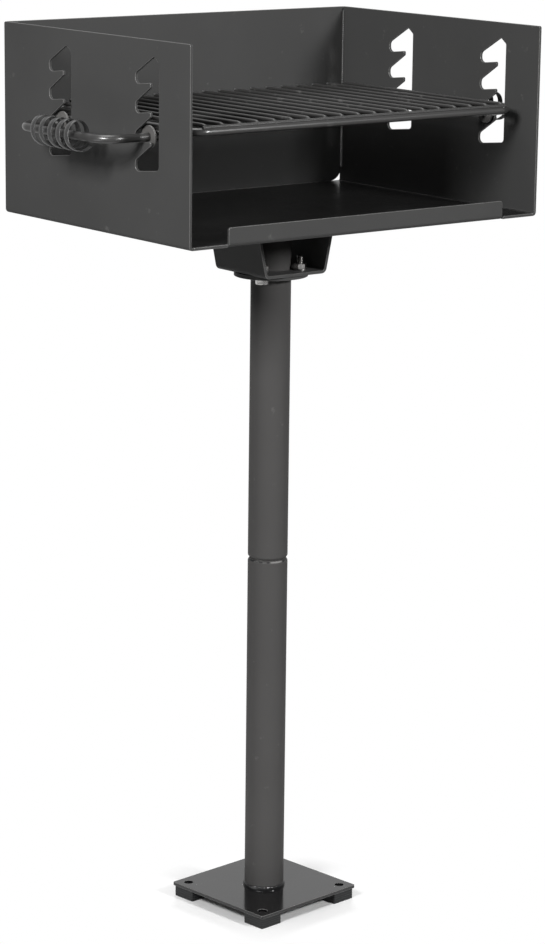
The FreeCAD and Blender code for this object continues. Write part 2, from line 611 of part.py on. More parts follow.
# Handles: a rod out through the front slot, along outside the wall and back in through the rear slot
LEGS = [("front", "leg_front"), ("rear", "leg_rear")]
handles = {}
for side, sign in SIDES:
    handle = new_body("handle_" + side)
    handles[side] = handle
    handle_path = new_sketch(handle, "handle_path_" + side, "XY_Plane", "leg_height")
    line = sign + "handle_line"
    turn = sign + "(handle_line - handle_bend)"
    bent_path(handle_path, [
        ((sign + "leg_end", "leg_front"), (turn, "leg_front")),
        ((line, "leg_front + handle_bend"), (line, "leg_rear - handle_bend")),
        ((turn, "leg_rear"), (sign + "leg_end", "leg_rear"))], "handle_bend", closed=False)
    swept_rod(handle, handle_path, sign + "leg_end", "leg_front", "leg_height", "leg_rod / 2")

    # Keeper discs on the legs, just inside the wall
    keeper_near = "(wall_inside - keeper_gap)"
    keeper_far = "(wall_inside - keeper_gap - keeper_thick)"
    for leg, depth in LEGS:
        keeper = new_body("keeper_%s_%s" % (side, leg))
        keeper_ring = new_sketch(keeper, "keeper_ring_%s_%s" % (side, leg), "YZ_Plane",
                                 "-" + keeper_near if side == "left" else keeper_far)
        draw_circle(keeper_ring, depth, "leg_height", "keeper_diameter / 2")
        draw_circle(keeper_ring, depth, "leg_height", "leg_rod / 2")
        pad(keeper, keeper_ring, "keeper_thick")

# Welds where the frame's side rods cross the handle legs
leg_weld_parts = []
for side, sign in SIDES:
    for leg, depth in LEGS:
        blank = doc.addObject("Part::Cylinder", "weld_blank_%s_%s" % (side, leg))
        blank.setExpression("Radius", full("leg_weld_width / 2"))
        blank.setExpression("Height", full("leg_weld_high"))
        blank.setExpression("Placement.Base.x", full(sign + "frame_side_line"))
        blank.setExpression("Placement.Base.y", full(depth))
        blank.setExpression("Placement.Base.z",
                            full("leg_height + leg_rod / 2 + leg_weld_gap / 2 - leg_weld_high / 2"))
        under_frame = doc.addObject("Part::Cut", "weld_under_frame_%s_%s" % (side, leg))
        under_frame.Base = blank
        under_frame.Tool = grate_frame
        over_leg = doc.addObject("Part::Cut", "weld_over_leg_%s_%s" % (side, leg))
        over_leg.Base = under_frame
        over_leg.Tool = handles[side]
        leg_weld_parts.append(over_leg)
leg_welds = doc.addObject("Part::Compound", "leg_welds")
leg_welds.Links = leg_weld_parts
doc.recompute()


def biarc(start, start_way, end, end_way):
    """Two arcs from one point and direction to another, joined where both have the same tangent."""
    span = end - start
    both = start_way + end_way
    square = 2 * (1 - start_way.dot(end_way))
    lean = span.dot(both)
    reach = (math.sqrt(lean * lean + square * span.dot(span)) - lean) / square
    first = start + start_way * reach
    second = end - end_way * reach
    join = (first + second) * 0.5
    arcs = []
    for begin, corner, finish in ((start, first, join), (join, second, end)):
        chord = (begin + finish) * 0.5
        rise = corner - chord
        half = (finish - begin).Length / 2
        turn = math.atan2(rise.Length, half)
        middle = chord + rise.normalize() * (half * math.tan(turn / 2))
        arcs.append(Part.Arc(begin, middle, finish).toShape())
    return arcs


def coil_grip(node, side_line):
    """One flat strip wound round the handle, right-handed from its free front end; the rear end turns in to the rod."""
    thick = number("grip_thick")
    wide = number("grip_wide")
    ring = (number("grip_outer") - thick) / 2
    pitch = number("grip_pitch")
    turns = int(number("grip_turns"))
    rod = number("leg_rod") / 2
    rise = pitch / (2 * math.pi)

    def place(angle):
        return FreeCAD.Vector(ring * math.sin(angle), rise * angle, ring * math.cos(angle))

    def way(angle):
        return FreeCAD.Vector(ring * math.cos(angle), rise, -ring * math.sin(angle)).normalize()

    quarter = math.pi / 2
    winding = []
    for i in range(4 * turns):
        low, high = quarter * i, quarter * (i + 1)
        winding += biarc(place(low), way(low), place(high), way(high))
    path = Part.Wire(winding)
    section = Part.makePolygon([place(0) + FreeCAD.Vector(0, along, out) for along, out in (
        (-wide / 2, -thick / 2), (wide / 2, -thick / 2), (wide / 2, thick / 2), (-wide / 2, thick / 2),
        (-wide / 2, -thick / 2))])
    shell = Part.BRepOffsetAPI.MakePipeShell(path)
    shell.setBiNormalMode(FreeCAD.Vector(0, 1, 0))
    shell.add(section)
    shell.build()
    shell.makeSolid()
    strip = shell.shape()

    # The rear end stands square to the rod and reaches it; whole turns bring it back above the rod's middle
    last = place(2 * math.pi * turns)
    turned_in = Part.makeBox(thick, wide, ring + thick / 2 - rod, FreeCAD.Vector(0, last.y - wide / 2, rod))
    coil = strip.fuse(turned_in).Solids[0]

    samples = [place(quarter * i / 9) for i in range(9 * 4 * turns + 1)]
    half_turn = 9 * 2
    least = min((samples[i] - samples[k]).Length for i in range(len(samples))
                for k in range(i + half_turn, len(samples))) - wide
    swept = thick * wide * 2 * math.pi * ring * turns + turned_in.Volume
    print("%s: strip %.1f mm long, least gap between turns %.2f mm, volume ratio %.4f"
          % (node, path.Length, least, coil.Volume / swept))
    grip = doc.addObject("Part::Feature", node)
    grip.Label = node
    grip.Shape = coil
    grip.Placement = FreeCAD.Placement(
        FreeCAD.Vector(side_line, number("handle_middle") - last.y / 2, number("leg_height")),
        FreeCAD.Rotation(FreeCAD.Vector(0, 1, 0), number("grip_start")))
    return grip


for side, sign in SIDES:
    coil_grip("coil_grip_" + side, number(sign + "handle_line"))
doc.recompute()

# Every object has to be sound before anything is written
for item in doc.Objects:
    if "Invalid" in item.State or "Error" in item.State:
        raise RuntimeError("%s failed: %s" % (item.Label, item.State))
pieces = [item for item in doc.Objects if item.TypeId == "PartDesign::Body"]
pieces += [leg_welds] + [item for item in doc.Objects if item.TypeId == "Part::Feature"]
for item in pieces:
    if item.Shape.isNull() or not item.Shape.isValid() or item.Shape.Volume < 1:
        raise RuntimeError("%s has no sound solid" % item.Label)
os.makedirs("parts", exist_ok=True)
for item in pieces:
    item.Shape.exportStep("parts/%s.step" % item.Label)
print("%d nodes, leg height %.2f, frame height %.2f, bar height %.2f, box top %.2f" % (
    len(pieces), number("leg_height"), number("frame_height"), number("bar_height"), number("box_top")))
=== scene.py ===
import math

import bmesh
import bpy
from bpy.props import FloatProperty, FloatVectorProperty, IntProperty, PointerProperty
from mathutils import Matrix, Vector


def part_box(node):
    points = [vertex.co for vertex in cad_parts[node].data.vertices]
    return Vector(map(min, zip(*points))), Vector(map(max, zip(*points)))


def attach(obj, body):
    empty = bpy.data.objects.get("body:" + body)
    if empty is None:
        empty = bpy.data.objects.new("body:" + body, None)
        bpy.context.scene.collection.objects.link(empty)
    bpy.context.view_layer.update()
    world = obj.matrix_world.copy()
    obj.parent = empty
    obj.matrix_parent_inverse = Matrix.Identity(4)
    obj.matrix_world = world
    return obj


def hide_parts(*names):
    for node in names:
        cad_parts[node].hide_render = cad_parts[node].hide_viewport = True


bl_info = {
    "name": "Park Grill Pedestal",
    "version": (1, 0, 0),
    "blender": (4, 5, 0),
    "location": "View3D > Sidebar > Park Grill",
    "description": "Dresses the park grill: coated sheets, rods, coil grips, plated fasteners and studio",
    "category": "Object",
}

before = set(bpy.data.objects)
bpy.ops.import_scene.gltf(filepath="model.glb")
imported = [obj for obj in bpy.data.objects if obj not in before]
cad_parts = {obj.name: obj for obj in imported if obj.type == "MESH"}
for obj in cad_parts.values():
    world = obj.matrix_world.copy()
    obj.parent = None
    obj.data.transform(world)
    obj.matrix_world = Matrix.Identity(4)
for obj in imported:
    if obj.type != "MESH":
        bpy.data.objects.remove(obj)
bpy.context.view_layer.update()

SIDES = (("left", -1), ("right", 1))
LEGS = ("front", "rear")
CORNERS = ("rear_right", "rear_left", "front_left", "front_right")
BARS = sorted(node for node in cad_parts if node.startswith("grate_bar_"))


def middle(node):
    """Centre of a node's box."""
    low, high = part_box(node)
    return (low + high) / 2


def half_size(node):
    """Half of a node's box along each axis."""
    low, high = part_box(node)
    return (high - low) / 2


def length(name, description, default):
    """A length in metres that a user can change."""
    return FloatProperty(name=name, description=description, default=default, min=0.0, unit="LENGTH",
                         precision=5)


def colour(name, description, default):
    """A linear colour that a user can change."""
    return FloatVectorProperty(name=name, description=description, default=default, size=3, min=0.0,
                               max=1.0, subtype="COLOR")


def share(name, description, default):
    """A number from 0 to 1 that a user can change."""
    return FloatProperty(name=name, description=description, default=default, min=0.0, max=1.0,
                         subtype="FACTOR")


def angle(name, description, default):
    """An angle, given in degrees, that a user can change."""
    return FloatProperty(name=name, description=description, default=math.radians(default), subtype="ANGLE")


class GrillSheetSizes(bpy.types.PropertyGroup):
    """Edges of cut sheet, and the weld beads"""

    sheet_thick: length("Sheet", "Thickness of the firebox's sheets", 0.004)
    edge_round: length("Edge rounding", "Radius left on a coated sheet's cut edge", 0.00055)
    block_round: length("Block rounding", "Radius on the edges of the feet and the post's tubes", 0.0009)
    saddle_splay: angle("Saddle splay", "Lean of the saddle's flanges, along which its welds run", 12)
    ripple_pitch: length("Ripple pitch", "Distance from one ripple of a weld bead to the next", 0.0032)
    ripple_depth: share("Ripple depth", "Depth of a ripple as a share of the bead's leg", 0.16)


class GrillRodSizes(bpy.types.PropertyGroup):
    """Bends of the rods and the welds of the grate"""

    handle_bend: length("Handle bend", "Bend radius of a handle's centre line", 0.028)
    frame_bend: length("Frame bend", "Corner radius of the grate frame's centre line", 0.025)
    bar_slope: length("Bar slope", "Length over which a cooking bar's end is pressed down", 0.007)
    bar_bend: length("Bar bend", "Bend radius where a cooking bar's end slopes down", 0.012)
    bar_sink: length("Bar sink", "Depth to which a cooking bar's end is pressed down", 0.0022)
    bar_short: length("Bar shortening", "Distance from a cooking bar's full reach to its rounded end", 0.0042)
    bead_radius: length("Front weld line", "Radius of the weld line in front of the bars' ends", 0.0023)
    bar_weld: length("Bar weld", "Radius of the weld spot at each end of a cooking bar", 0.0024)
    leg_weld: length("Leg weld", "Radius of the weld where the frame crosses a handle leg", 0.0085)


class GrillCoilSizes(bpy.types.PropertyGroup):
    """The flat strip wound round each handle"""

    strip_width: length("Strip width", "Width of the strip along the handle", 0.010)
    strip_thick: length("Strip thickness", "Thickness of the strip", 0.0015)
    strip_crown: length("Strip crown", "Fall of the strip's outer face from its middle to its edges", 0.0009)
    pitch: length("Pitch", "Advance of the strip in one turn", 0.0208)
    turns: IntProperty(name="Turns", description="Whole turns of the strip", default=5, min=1, max=24)
    start: angle("Start", "Place of the strip's free front end, round from the top", 134)


class GrillFastenerSizes(bpy.types.PropertyGroup):
    """Bolts, washers and nuts round the post flange"""

    pairs: IntProperty(name="Pairs", description="Bolts round the post, each followed by a stud",
                       default=2, min=1, max=6)
    circle_radius: length("Circle radius", "Post's axis to a bolt's axis", 0.045)
    turn: angle("Turn", "First bolt, round from the right", 35)
    bolt_radius: length("Bolt radius", "Half of the thread's outside diameter", 0.005)
    flats: length("Across flats", "Width of a head or nut across its flats", 0.017)
    head_high: length("Head height", "Height of a bolt's head", 0.007)
    nut_high: length("Nut height", "Height of a nut", 0.008)
    thread_pitch: length("Thread pitch", "Pitch of the bolt's thread", 0.0015)
    thread_depth: length("Thread depth", "Depth of the bolt's thread", 0.0008)


class GrillFinishColours(bpy.types.PropertyGroup):
    """Colours of the coats and platings"""

    coat: colour("Firebox coat", "Powder coat on the sheets", (0.054, 0.054, 0.0535))
    bracket_coat: colour("Bracket coat", "Powder coat on the flange and saddle", (0.075, 0.075, 0.0745))
    post_coat: colour("Post coat", "Powder coat on the post's tubes", (0.066, 0.0645, 0.0635))
    keeper_coat: colour("Keeper coat", "Thin coat on the keeper discs", (0.10, 0.097, 0.094))
    plate_coat: colour("Plate coat", "Gloss coat on the base plate", (0.008, 0.008, 0.0085))
    rod_coat: colour("Rod coat", "Gloss coat on grate and handles", (0.026, 0.0255, 0.025))
    coil_coat: colour("Coil coat", "Coat on the coil grips", (0.026, 0.026, 0.026))
    # Lighter tint: the painted highlight along cut edges, and the rubbed patches on rods, keepers, coils and
    # welds.
    wear_and_edge_highlight_tint: colour("Edge tint", "Coat worn thin along cut edges", (0.105, 0.104, 0.102))
    # The post joint's bevel: a dark colour, and a lighter one for the patches that paint its highlight.
    joint_coat: colour("Joint coat", "Dark coat left on the bevel at the post joint", (0.016, 0.0165, 0.017))
    joint_highlight_tint: colour("Scuff tint", "Coat scuffed down to the metal at the post joint", (0.19, 0.187, 0.183))
    foot: colour("Foot", "Moulded feet", (0.016, 0.0165, 0.017))
    zinc: colour("Zinc", "Plating on the fasteners", (0.50, 0.49, 0.48))
    steel: colour("Bare steel", "Turned steel of the spigot", (0.44, 0.43, 0.42))


class GrillStudioSettings(bpy.types.PropertyGroup):
    """Camera and light of the studio"""

    viewpoint: FloatVectorProperty(name="Viewpoint", description="Where the camera stands", unit="LENGTH",
                                   default=(-2.6909, -3.4698, 1.681), size=3)
    heading: angle("Heading", "Camera's direction, round from +Y to the right", 37.87)
    tilt: angle("Tilt", "Camera's direction below the horizon", 12.89)
    roll: angle("Roll", "Camera's turn about its own axis", 0.68)
    focal_length: FloatProperty(name="Focal length", description="Lens, for a frame 36 mm high",
                                default=114.37, unit="CAMERA")
    room_light: share("Room light", "Level of the light from all round", 0.06)
    dark_side: share("Dark side", "Reflected level of the room, but for the backdrop", 0.35)
    shadow_reach: length("Shadow reach", "Distance from the post up to which the floor takes shade", 0.105)
    shadow_end: length("Shadow end", "Distance from the post from which the floor shows white", 0.195)


# Building node trees

def feed(tree, node, inputs):
    """Give a node its inputs: values or sockets, by name or number."""
    for key, value in inputs.items():
        if isinstance(value, bpy.types.NodeSocket):
            tree.links.new(value, node.inputs[key])
        else:
            node.inputs[key].default_value = value


def fed_by(node, key):
    """What is linked to a node's input."""
    return node.inputs[key].links[0].from_socket


def add_node(tree, kind, inputs=None, **settings):
    """Add a node with its inputs; settings are its own properties."""
    node = tree.nodes.new(kind)
    for key, value in settings.items():
        setattr(node, key, value)
    feed(tree, node, inputs or {})
    return node


def calculate(tree, operation, *values):
    """A math node's result."""
    return add_node(tree, "ShaderNodeMath", dict(enumerate(values)), operation=operation).outputs[0]


def remap(tree, value, low, high, new_low=0.0, new_high=1.0):
    """A value carried from one range to another and held inside it."""
    return add_node(tree, "ShaderNodeMapRange", {
        "Value": value, "From Min": low, "From Max": high, "To Min": new_low, "To Max": new_high}).outputs[0]


def blend(tree, factor, first, second):
    """A value between two others, by a factor."""
    return add_node(tree, "ShaderNodeMix", {0: factor, 2: first, 3: second}, data_type="FLOAT").outputs[0]


def blend_colours(tree, factor, first, second, kind="MIX"):
    """Two colours mixed by a factor."""
    return add_node(tree, "ShaderNodeMix", {0: factor, 6: first, 7: second}, data_type="RGBA",
                    blend_type=kind).outputs[2]


def shaded(tree, tint, level):
    """A colour made darker or lighter by a level."""
    grey = add_node(tree, "ShaderNodeCombineColor", {0: level, 1: level, 2: level}).outputs[0]
    return blend_colours(tree, 1.0, tint, grey, "MULTIPLY")


def vector(tree, x=0.0, y=0.0, z=0.0):
    """Three values as one vector."""
    return add_node(tree, "ShaderNodeCombineXYZ", {0: x, 1: y, 2: z}).outputs[0]


def parts(tree, place):
    """The three values of a vector."""
    return add_node(tree, "ShaderNodeSeparateXYZ", {0: place}).outputs


def own_place(tree):
    """Where a point lies on its piece."""
    return add_node(tree, "ShaderNodeTexCoord").outputs["Object"]


def noise(tree, place, scale, detail, roughness=0.5):
    """Cloudy noise, 0.5 on average."""
    return add_node(tree, "ShaderNodeTexNoise", {
        "Vector": place, "Scale": scale, "Detail": detail, "Roughness": roughness}).outputs[0]


def bumps(tree, height, depth):
    """The surface's tilt where a height pattern raises and sinks it."""
    return add_node(tree, "ShaderNodeBump", {"Height": height, "Distance": depth, "Strength": 1.0}).outputs[0]


def named_tree(name, kind, inputs, outputs):
    """An empty group with named inputs and outputs, what it is given and its output node."""
    tree = bpy.data.node_groups.new(name, kind)
    for label, socket, default in inputs:
        made = tree.interface.new_socket(label, in_out="INPUT", socket_type="NodeSocket" + socket)
        if default is not None:
            made.default_value = default
    for label, socket in outputs:
        tree.interface.new_socket(label, in_out="OUTPUT", socket_type="NodeSocket" + socket)
    return tree, tree.nodes.new("NodeGroupInput").outputs, tree.nodes.new("NodeGroupOutput")


def shared(name, build):
    """A node group that is built once."""
    return bpy.data.node_groups.get(name) or build()


def place_effect(tree, name, build, inputs):
    """A shared effect in a material, with the material's own values; gives its outputs."""
    return add_node(tree, "ShaderNodeGroup", inputs, node_tree=shared(name, build)).outputs


# Shared shader effects

def powder_skin_group():
    """Sprayed and baked powder: orange peel, a slow drift of tone and a fine change of gloss."""
    tree, given, result = named_tree(
        "powder_skin", "ShaderNodeTree",
        [("Colour", "Color", (0.03, 0.03, 0.03, 1)), ("Roughness", "Float", 0.4), ("Drift", "Float", 0.1),
         ("Peel Size", "Float", 0.0016)],
        [("Colour", "Color"), ("Roughness", "Float"), ("Height", "Float")])
    place = own_place(tree)
    cloud = noise(tree, place, scale=7.0, detail=3.0)
    peel_scale = calculate(tree, "DIVIDE", 1.0, given["Peel Size"])
    peel = noise(tree, place, peel_scale, detail=1.0)
    grit = noise(tree, place, calculate(tree, "MULTIPLY", peel_scale, 5.0), detail=0.0)
    swing = calculate(tree, "MULTIPLY", calculate(tree, "SUBTRACT", cloud, 0.5), given["Drift"])
    bright = calculate(tree, "ADD", 1.0, calculate(tree, "MULTIPLY", swing, 2.0))
    gloss = calculate(tree, "MULTIPLY_ADD", calculate(tree, "SUBTRACT", grit, 0.5), 0.10, given["Roughness"])
    feed(tree, result, {
        "Colour": shaded(tree, given["Colour"], bright),
        "Roughness": calculate(tree, "MULTIPLY_ADD", swing, 0.35, gloss),
        "Height": calculate(tree, "MULTIPLY_ADD", grit, 0.12, peel)})
    return tree


def rubbed_group():
    """Coat rubbed thin in patches, which show lighter and smoother."""
    tree, given, result = named_tree(
        "rubbed", "ShaderNodeTree",
        [("Colour", "Color", (0.03, 0.03, 0.03, 1)), ("Rubbed Colour", "Color", (0.08, 0.08, 0.08, 1)),
         ("Amount", "Float", 0.3), ("Patch Size", "Float", 0.02)],
        [("Colour", "Color"), ("Mask", "Float")])
    scale = calculate(tree, "DIVIDE", 1.0, given["Patch Size"])
    patch = noise(tree, own_place(tree), scale, detail=4.0, roughness=0.65)
    edge = calculate(tree, "MULTIPLY_ADD", given["Amount"], -0.4, 0.7)
    mask = remap(tree, calculate(tree, "SUBTRACT", patch, edge), -0.04, 0.10)
    feed(tree, result, {
        "Colour": blend_colours(tree, mask, given["Colour"], given["Rubbed Colour"]), "Mask": mask})
    return tree


def painted_shade_zone_group():
    """Painted shade on the firebox's inner coat: darkest on the floor, dark on the walls under the grate,
    plain in front.
    """
    tree, given, result = named_tree(
        "painted_shade_zone", "ShaderNodeTree",
        [("Colour", "Color", (0.05, 0.05, 0.05, 1)), ("Floor", "Float", 1.07), ("Top", "Float", 1.2),
         ("Half Width", "Float", 0.31), ("Front", "Float", -0.22), ("Rear", "Float", 0.22),
         ("Skin", "Float", 0.0016), ("Reach", "Float", 0.2), ("Floor Shade", "Float", 0.2),
         ("Side Shade", "Float", 0.15), ("Back Shade", "Float", 0.46)],
        [("Colour", "Color"), ("Mask", "Float")])
    at = parts(tree, own_place(tree))
    across = calculate(tree, "ABSOLUTE", at[0])
    inside = calculate(tree, "LESS_THAN", across, given["Half Width"])
    limits = (("GREATER_THAN", 1, "Front"), ("LESS_THAN", 1, "Rear"), ("GREATER_THAN", 2, "Floor"))
    for test, axis, limit in limits:
        inside = calculate(tree, "MULTIPLY", inside, calculate(tree, test, at[axis], given[limit]))
    # Painted shade below the grate, full only some way in from the front edge.
    climb = remap(tree, at[2], given["Floor"], given["Top"])
    under = calculate(tree, "SUBTRACT", 1.0, calculate(tree, "POWER", climb, 4.0))
    depth = remap(tree, at[1], given["Front"], calculate(tree, "ADD", given["Front"], given["Reach"]))
    entered = calculate(tree, "SMOOTH_MIN", 1.0, calculate(tree, "MULTIPLY_ADD", climb, 0.7, depth), 0.3)
    # A point near the full half width lies on a side wall, and a low one on the floor.
    side = calculate(tree, "GREATER_THAN", across, calculate(tree, "MULTIPLY", given["Half Width"], 0.985))
    wall = blend(tree, side, given["Back Shade"], given["Side Shade"])
    amount = calculate(tree, "MULTIPLY", under, calculate(tree, "MULTIPLY", entered, depth))
    low = calculate(tree, "LESS_THAN", at[2], calculate(tree, "ADD", given["Floor"], given["Skin"]))
    shade = blend(tree, low, blend(tree, amount, 1.0, wall), given["Floor Shade"])
    feed(tree, result, {
        "Colour": shaded(tree, given["Colour"], blend(tree, inside, 1.0, shade)),
        "Mask": calculate(tree, "MULTIPLY", inside, low)})
    return tree


# Finishes

def opaque(values):
    """A colour with its alpha."""
    return (*values, 1.0)


def new_finish(name):
    """A new material, its node tree and its shader."""
    material = bpy.data.materials.new(name)
    material.use_nodes = True
    return material, material.node_tree, material.node_tree.nodes["Principled BSDF"]


def coated(name, tint, roughness, rubbed_tint="wear_and_edge_highlight_tint", rub=0.15, drift=0.10, peel=0.0016, depth=0.00006,
           gloss=0.5):
    """Powder coat over steel, thinner where it is rubbed. The tints are names of colours in the settings."""
    if name in bpy.data.materials:
        return bpy.data.materials[name]
    tints = bpy.context.scene.grill_colours
    material, tree, shader = new_finish(name)
    skin = place_effect(tree, "powder_skin", powder_skin_group, {
        "Colour": opaque(getattr(tints, tint)), "Roughness": roughness, "Drift": drift, "Peel Size": peel})
    worn = place_effect(tree, "rubbed", rubbed_group, {
        "Colour": skin["Colour"], "Rubbed Colour": opaque(getattr(tints, rubbed_tint)), "Amount": rub})
    feed(tree, shader, {
        "Base Color": worn["Colour"],
        "Roughness": calculate(tree, "MULTIPLY_ADD", worn["Mask"], -0.06, skin["Roughness"]),
        "Normal": bumps(tree, skin["Height"], depth),
        "Specular IOR Level": gloss})
    return material


def bracket_coat():
    """Dull coat of the flange and the saddle."""
    return coated("bracket_coat", "bracket_coat", roughness=0.46, rub=0.0, drift=0.14, gloss=0.03)


def firebox_coat():
    """The sheets' coat, with painted shade inside the firebox on the floor and on the walls under the grate.
    """
    if "firebox_coat" in bpy.data.materials:
        return bpy.data.materials["firebox_coat"]
    material = coated("firebox_coat", "coat", roughness=0.46, rub=0.0, drift=0.14, gloss=0.03)
    tree = material.node_tree
    shader = tree.nodes["Principled BSDF"]
    sheet = bpy.context.scene.grill_sheet.sheet_thick
    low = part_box("floor_pan")[0]
    # Painted shade inside the firebox: darkest on the floor, dark on the walls under the grate.
    zone = place_effect(tree, "painted_shade_zone", painted_shade_zone_group, {
        "Colour": fed_by(shader, "Base Color"),
        "Floor": low.z + sheet * 0.7,
        "Top": middle("grate_frame").z,
        "Half Width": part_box("right_side")[1].x - sheet / 2,
        "Front": low.y + sheet * 1.2,
        "Rear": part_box("corner_weld_left")[1].y + sheet / 2})
    smoother = calculate(tree, "MULTIPLY_ADD", zone["Mask"], -0.18, fed_by(shader, "Roughness"))
    feed(tree, shader, {"Base Color": zone["Colour"], "Roughness": smoother})
    return material


def keeper_coat():
    """Thin, rubbed coat of the keeper discs."""
    return coated("keeper_coat", "keeper_coat", roughness=0.38, rub=0.4, drift=0.4)


def edge_coat():
    """Lighter coat along the rounded cut edges: a painted highlight."""
    return coated("edge_coat", "wear_and_edge_highlight_tint", roughness=0.34, rub=0.5, drift=0.3)


def worn_coat():
    """Dark bevel coat with lighter patches that paint the highlight where the tubes meet."""
    return coated("worn_coat", "joint_coat", roughness=0.40, rubbed_tint="joint_highlight_tint", rub=0.42, drift=0.5,
                  peel=0.0024, depth=0.0003, gloss=0.1)


def post_coat():
    """Dull coat of the post's tubes."""
    return coated("post_coat", "post_coat", roughness=0.50, rub=0.0, peel=0.0013, gloss=0.03)


def plate_coat():
    """Gloss coat of the base plate and its weld."""
    return coated("plate_coat", "plate_coat", roughness=0.13, rubbed_tint="plate_coat", drift=0.05,
                  peel=0.0022, depth=0.00002)


def rod_coat():
    """Gloss coat of the cooking bars."""
    return coated("rod_coat", "rod_coat", roughness=0.35, rub=0.12, drift=0.25, peel=0.0011, depth=0.00003)


def handle_coat():
    """Glossier coat of the handles and the grate's frame."""
    return coated("handle_coat", "rod_coat", roughness=0.31, rub=0.12, drift=0.25, peel=0.0011,
                  depth=0.00002, gloss=0.85)


def coil_coat():
    """The strip's coat, with painted shade on the side turned to the handle."""
    if "coil_coat" in bpy.data.materials:
        return bpy.data.materials["coil_coat"]
    material = coated("coil_coat", "coil_coat", roughness=0.27, drift=0.3, peel=0.0010, depth=0.00003,
                      gloss=0.9)
    tree = material.node_tree
    shader = tree.nodes["Principled BSDF"]
    thick = bpy.context.scene.grill_coils.strip_thick
    centre = middle("coil_grip_right")
    radius = half_size("coil_grip_right").x
    at = parts(tree, own_place(tree))
    aside = calculate(tree, "SUBTRACT", calculate(tree, "ABSOLUTE", at[0]), centre.x)
    above = calculate(tree, "SUBTRACT", at[2], centre.z)
    squares = calculate(tree, "MULTIPLY_ADD", aside, aside, calculate(tree, "MULTIPLY", above, above))
    # Painted shade on the strip's inner face, fading from within the strip outwards.
    outside = remap(tree, calculate(tree, "SQRT", squares), radius - thick, radius - thick * 0.4, 0.12, 1.0)
    inside = calculate(tree, "SUBTRACT", 1.0, outside)
    feed(tree, shader, {
        "Base Color": shaded(tree, fed_by(shader, "Base Color"), outside),
        "Roughness": calculate(tree, "MULTIPLY_ADD", inside, 0.5, fed_by(shader, "Roughness"))})
    return material


def weld_coat():
    """Coat over the weld beads and spots."""
    return coated("weld_coat", "coat", roughness=0.32, rub=0.2, drift=0.3, peel=0.0018, depth=0.0002)


def foot_block():
    """Moulded black block with the fine level lines of its mould."""
    if "moulded_foot" in bpy.data.materials:
        return bpy.data.materials["moulded_foot"]
    tint = opaque(bpy.context.scene.grill_colours.foot)
    material, tree, shader = new_finish("moulded_foot")
    skin = place_effect(tree, "powder_skin", powder_skin_group, {
        "Colour": tint, "Roughness": 0.55, "Drift": 0.3, "Peel Size": 0.0008})
    lines = add_node(tree, "ShaderNodeTexWave", {
        "Vector": own_place(tree), "Scale": 90.0, "Distortion": 1.5, "Detail": 2.0},
        bands_direction="Z").outputs[1]
    feed(tree, shader, {
        "Base Color": shaded(tree, skin["Colour"], remap(tree, lines, 0.0, 1.0, 0.7, 1.35)),
        "Roughness": skin["Roughness"],
        "Normal": bumps(tree, calculate(tree, "MULTIPLY_ADD", lines, 2.5, skin["Height"]), 0.0001),
        "Specular IOR Level": 0.25})
    return material


def metal(name, tint, roughness, grain, stretch):
    """Bare or plated metal with a fine grain: spangle where stretch is 1, turning marks where it is large.
    The tint is the name of a colour in the settings."""
    if name in bpy.data.materials:
        return bpy.data.materials[name]
    material, tree, shader = new_finish(name)
    place = own_place(tree)
    spread = add_node(tree, "ShaderNodeMapping", {"Vector": place, "Scale": (1.0, 1.0, stretch)}).outputs[0]
    marks = noise(tree, spread, 1.0 / grain, detail=3.0)
    cloud = remap(tree, noise(tree, place, scale=180.0, detail=2.0), 0.35, 0.65)
    bright = getattr(bpy.context.scene.grill_colours, tint)
    dull = [part * 0.62 for part in bright]
    feed(tree, shader, {
        "Base Color": blend_colours(tree, cloud, opaque(dull), opaque(bright)),
        "Roughness": remap(tree, marks, 0.3, 0.7, roughness - 0.08, roughness + 0.12),
        "Metallic": 1.0,
        "Normal": bumps(tree, marks, 0.00003)})
    return material


def zinc_plating():
    """Bright plating of the fasteners."""
    return metal("zinc_plating", "zinc", roughness=0.24, grain=0.0012, stretch=1.0)


def turned_steel():
    """Bare steel of the spigot."""
    return metal("turned_steel", "steel", roughness=0.32, grain=0.0015, stretch=14.0)


# Meshes

def new_object(name, data):
    """An object at the origin of the scene."""
    made = bpy.data.objects.new(name, data)
    bpy.context.scene.collection.objects.link(made)
    return made


def bare_piece(name, points, edges, faces):
    """A piece from points, edges and faces."""
    mesh = bpy.data.meshes.new(name)
    mesh.from_pydata([tuple(point) for point in points], edges, faces)
    return new_object(name, mesh)


def new_piece(name, points, faces, materials):
    """A piece from points and faces, all faces smooth, with its materials."""
    piece = bare_piece(name, points, [], faces)
    for material in materials:
        piece.data.materials.append(material)
    piece.data.polygons.foreach_set("use_smooth", [True] * len(piece.data.polygons))
    return piece


def settle(piece):
    """Make a piece's modified shape its plain mesh."""
    bpy.context.view_layer.update()
    graph = bpy.context.evaluated_depsgraph_get()
    mesh = bpy.data.meshes.new_from_object(piece.evaluated_get(graph), preserve_all_data_layers=True,
                                           depsgraph=graph)
    piece.modifiers.clear()
    piece.data = mesh
    mesh.name = piece.name
    return piece


def soften(piece, radius, turn=34.0, steps=2):
    """Round every edge sharper than turn degrees; the new faces take the second material."""
    bevel = piece.modifiers.new("rounding", "BEVEL")
    bevel.width = radius
    bevel.segments = steps
    bevel.limit_method = "ANGLE"
    bevel.angle_limit = math.radians(turn)
    bevel.use_clamp_overlap = False
    bevel.material = 1 if len(piece.data.materials) > 1 else -1
    even = piece.modifiers.new("even_shading", "WEIGHTED_NORMAL")
    even.mode = "FACE_AREA"
    even.weight = 100
    return settle(piece)


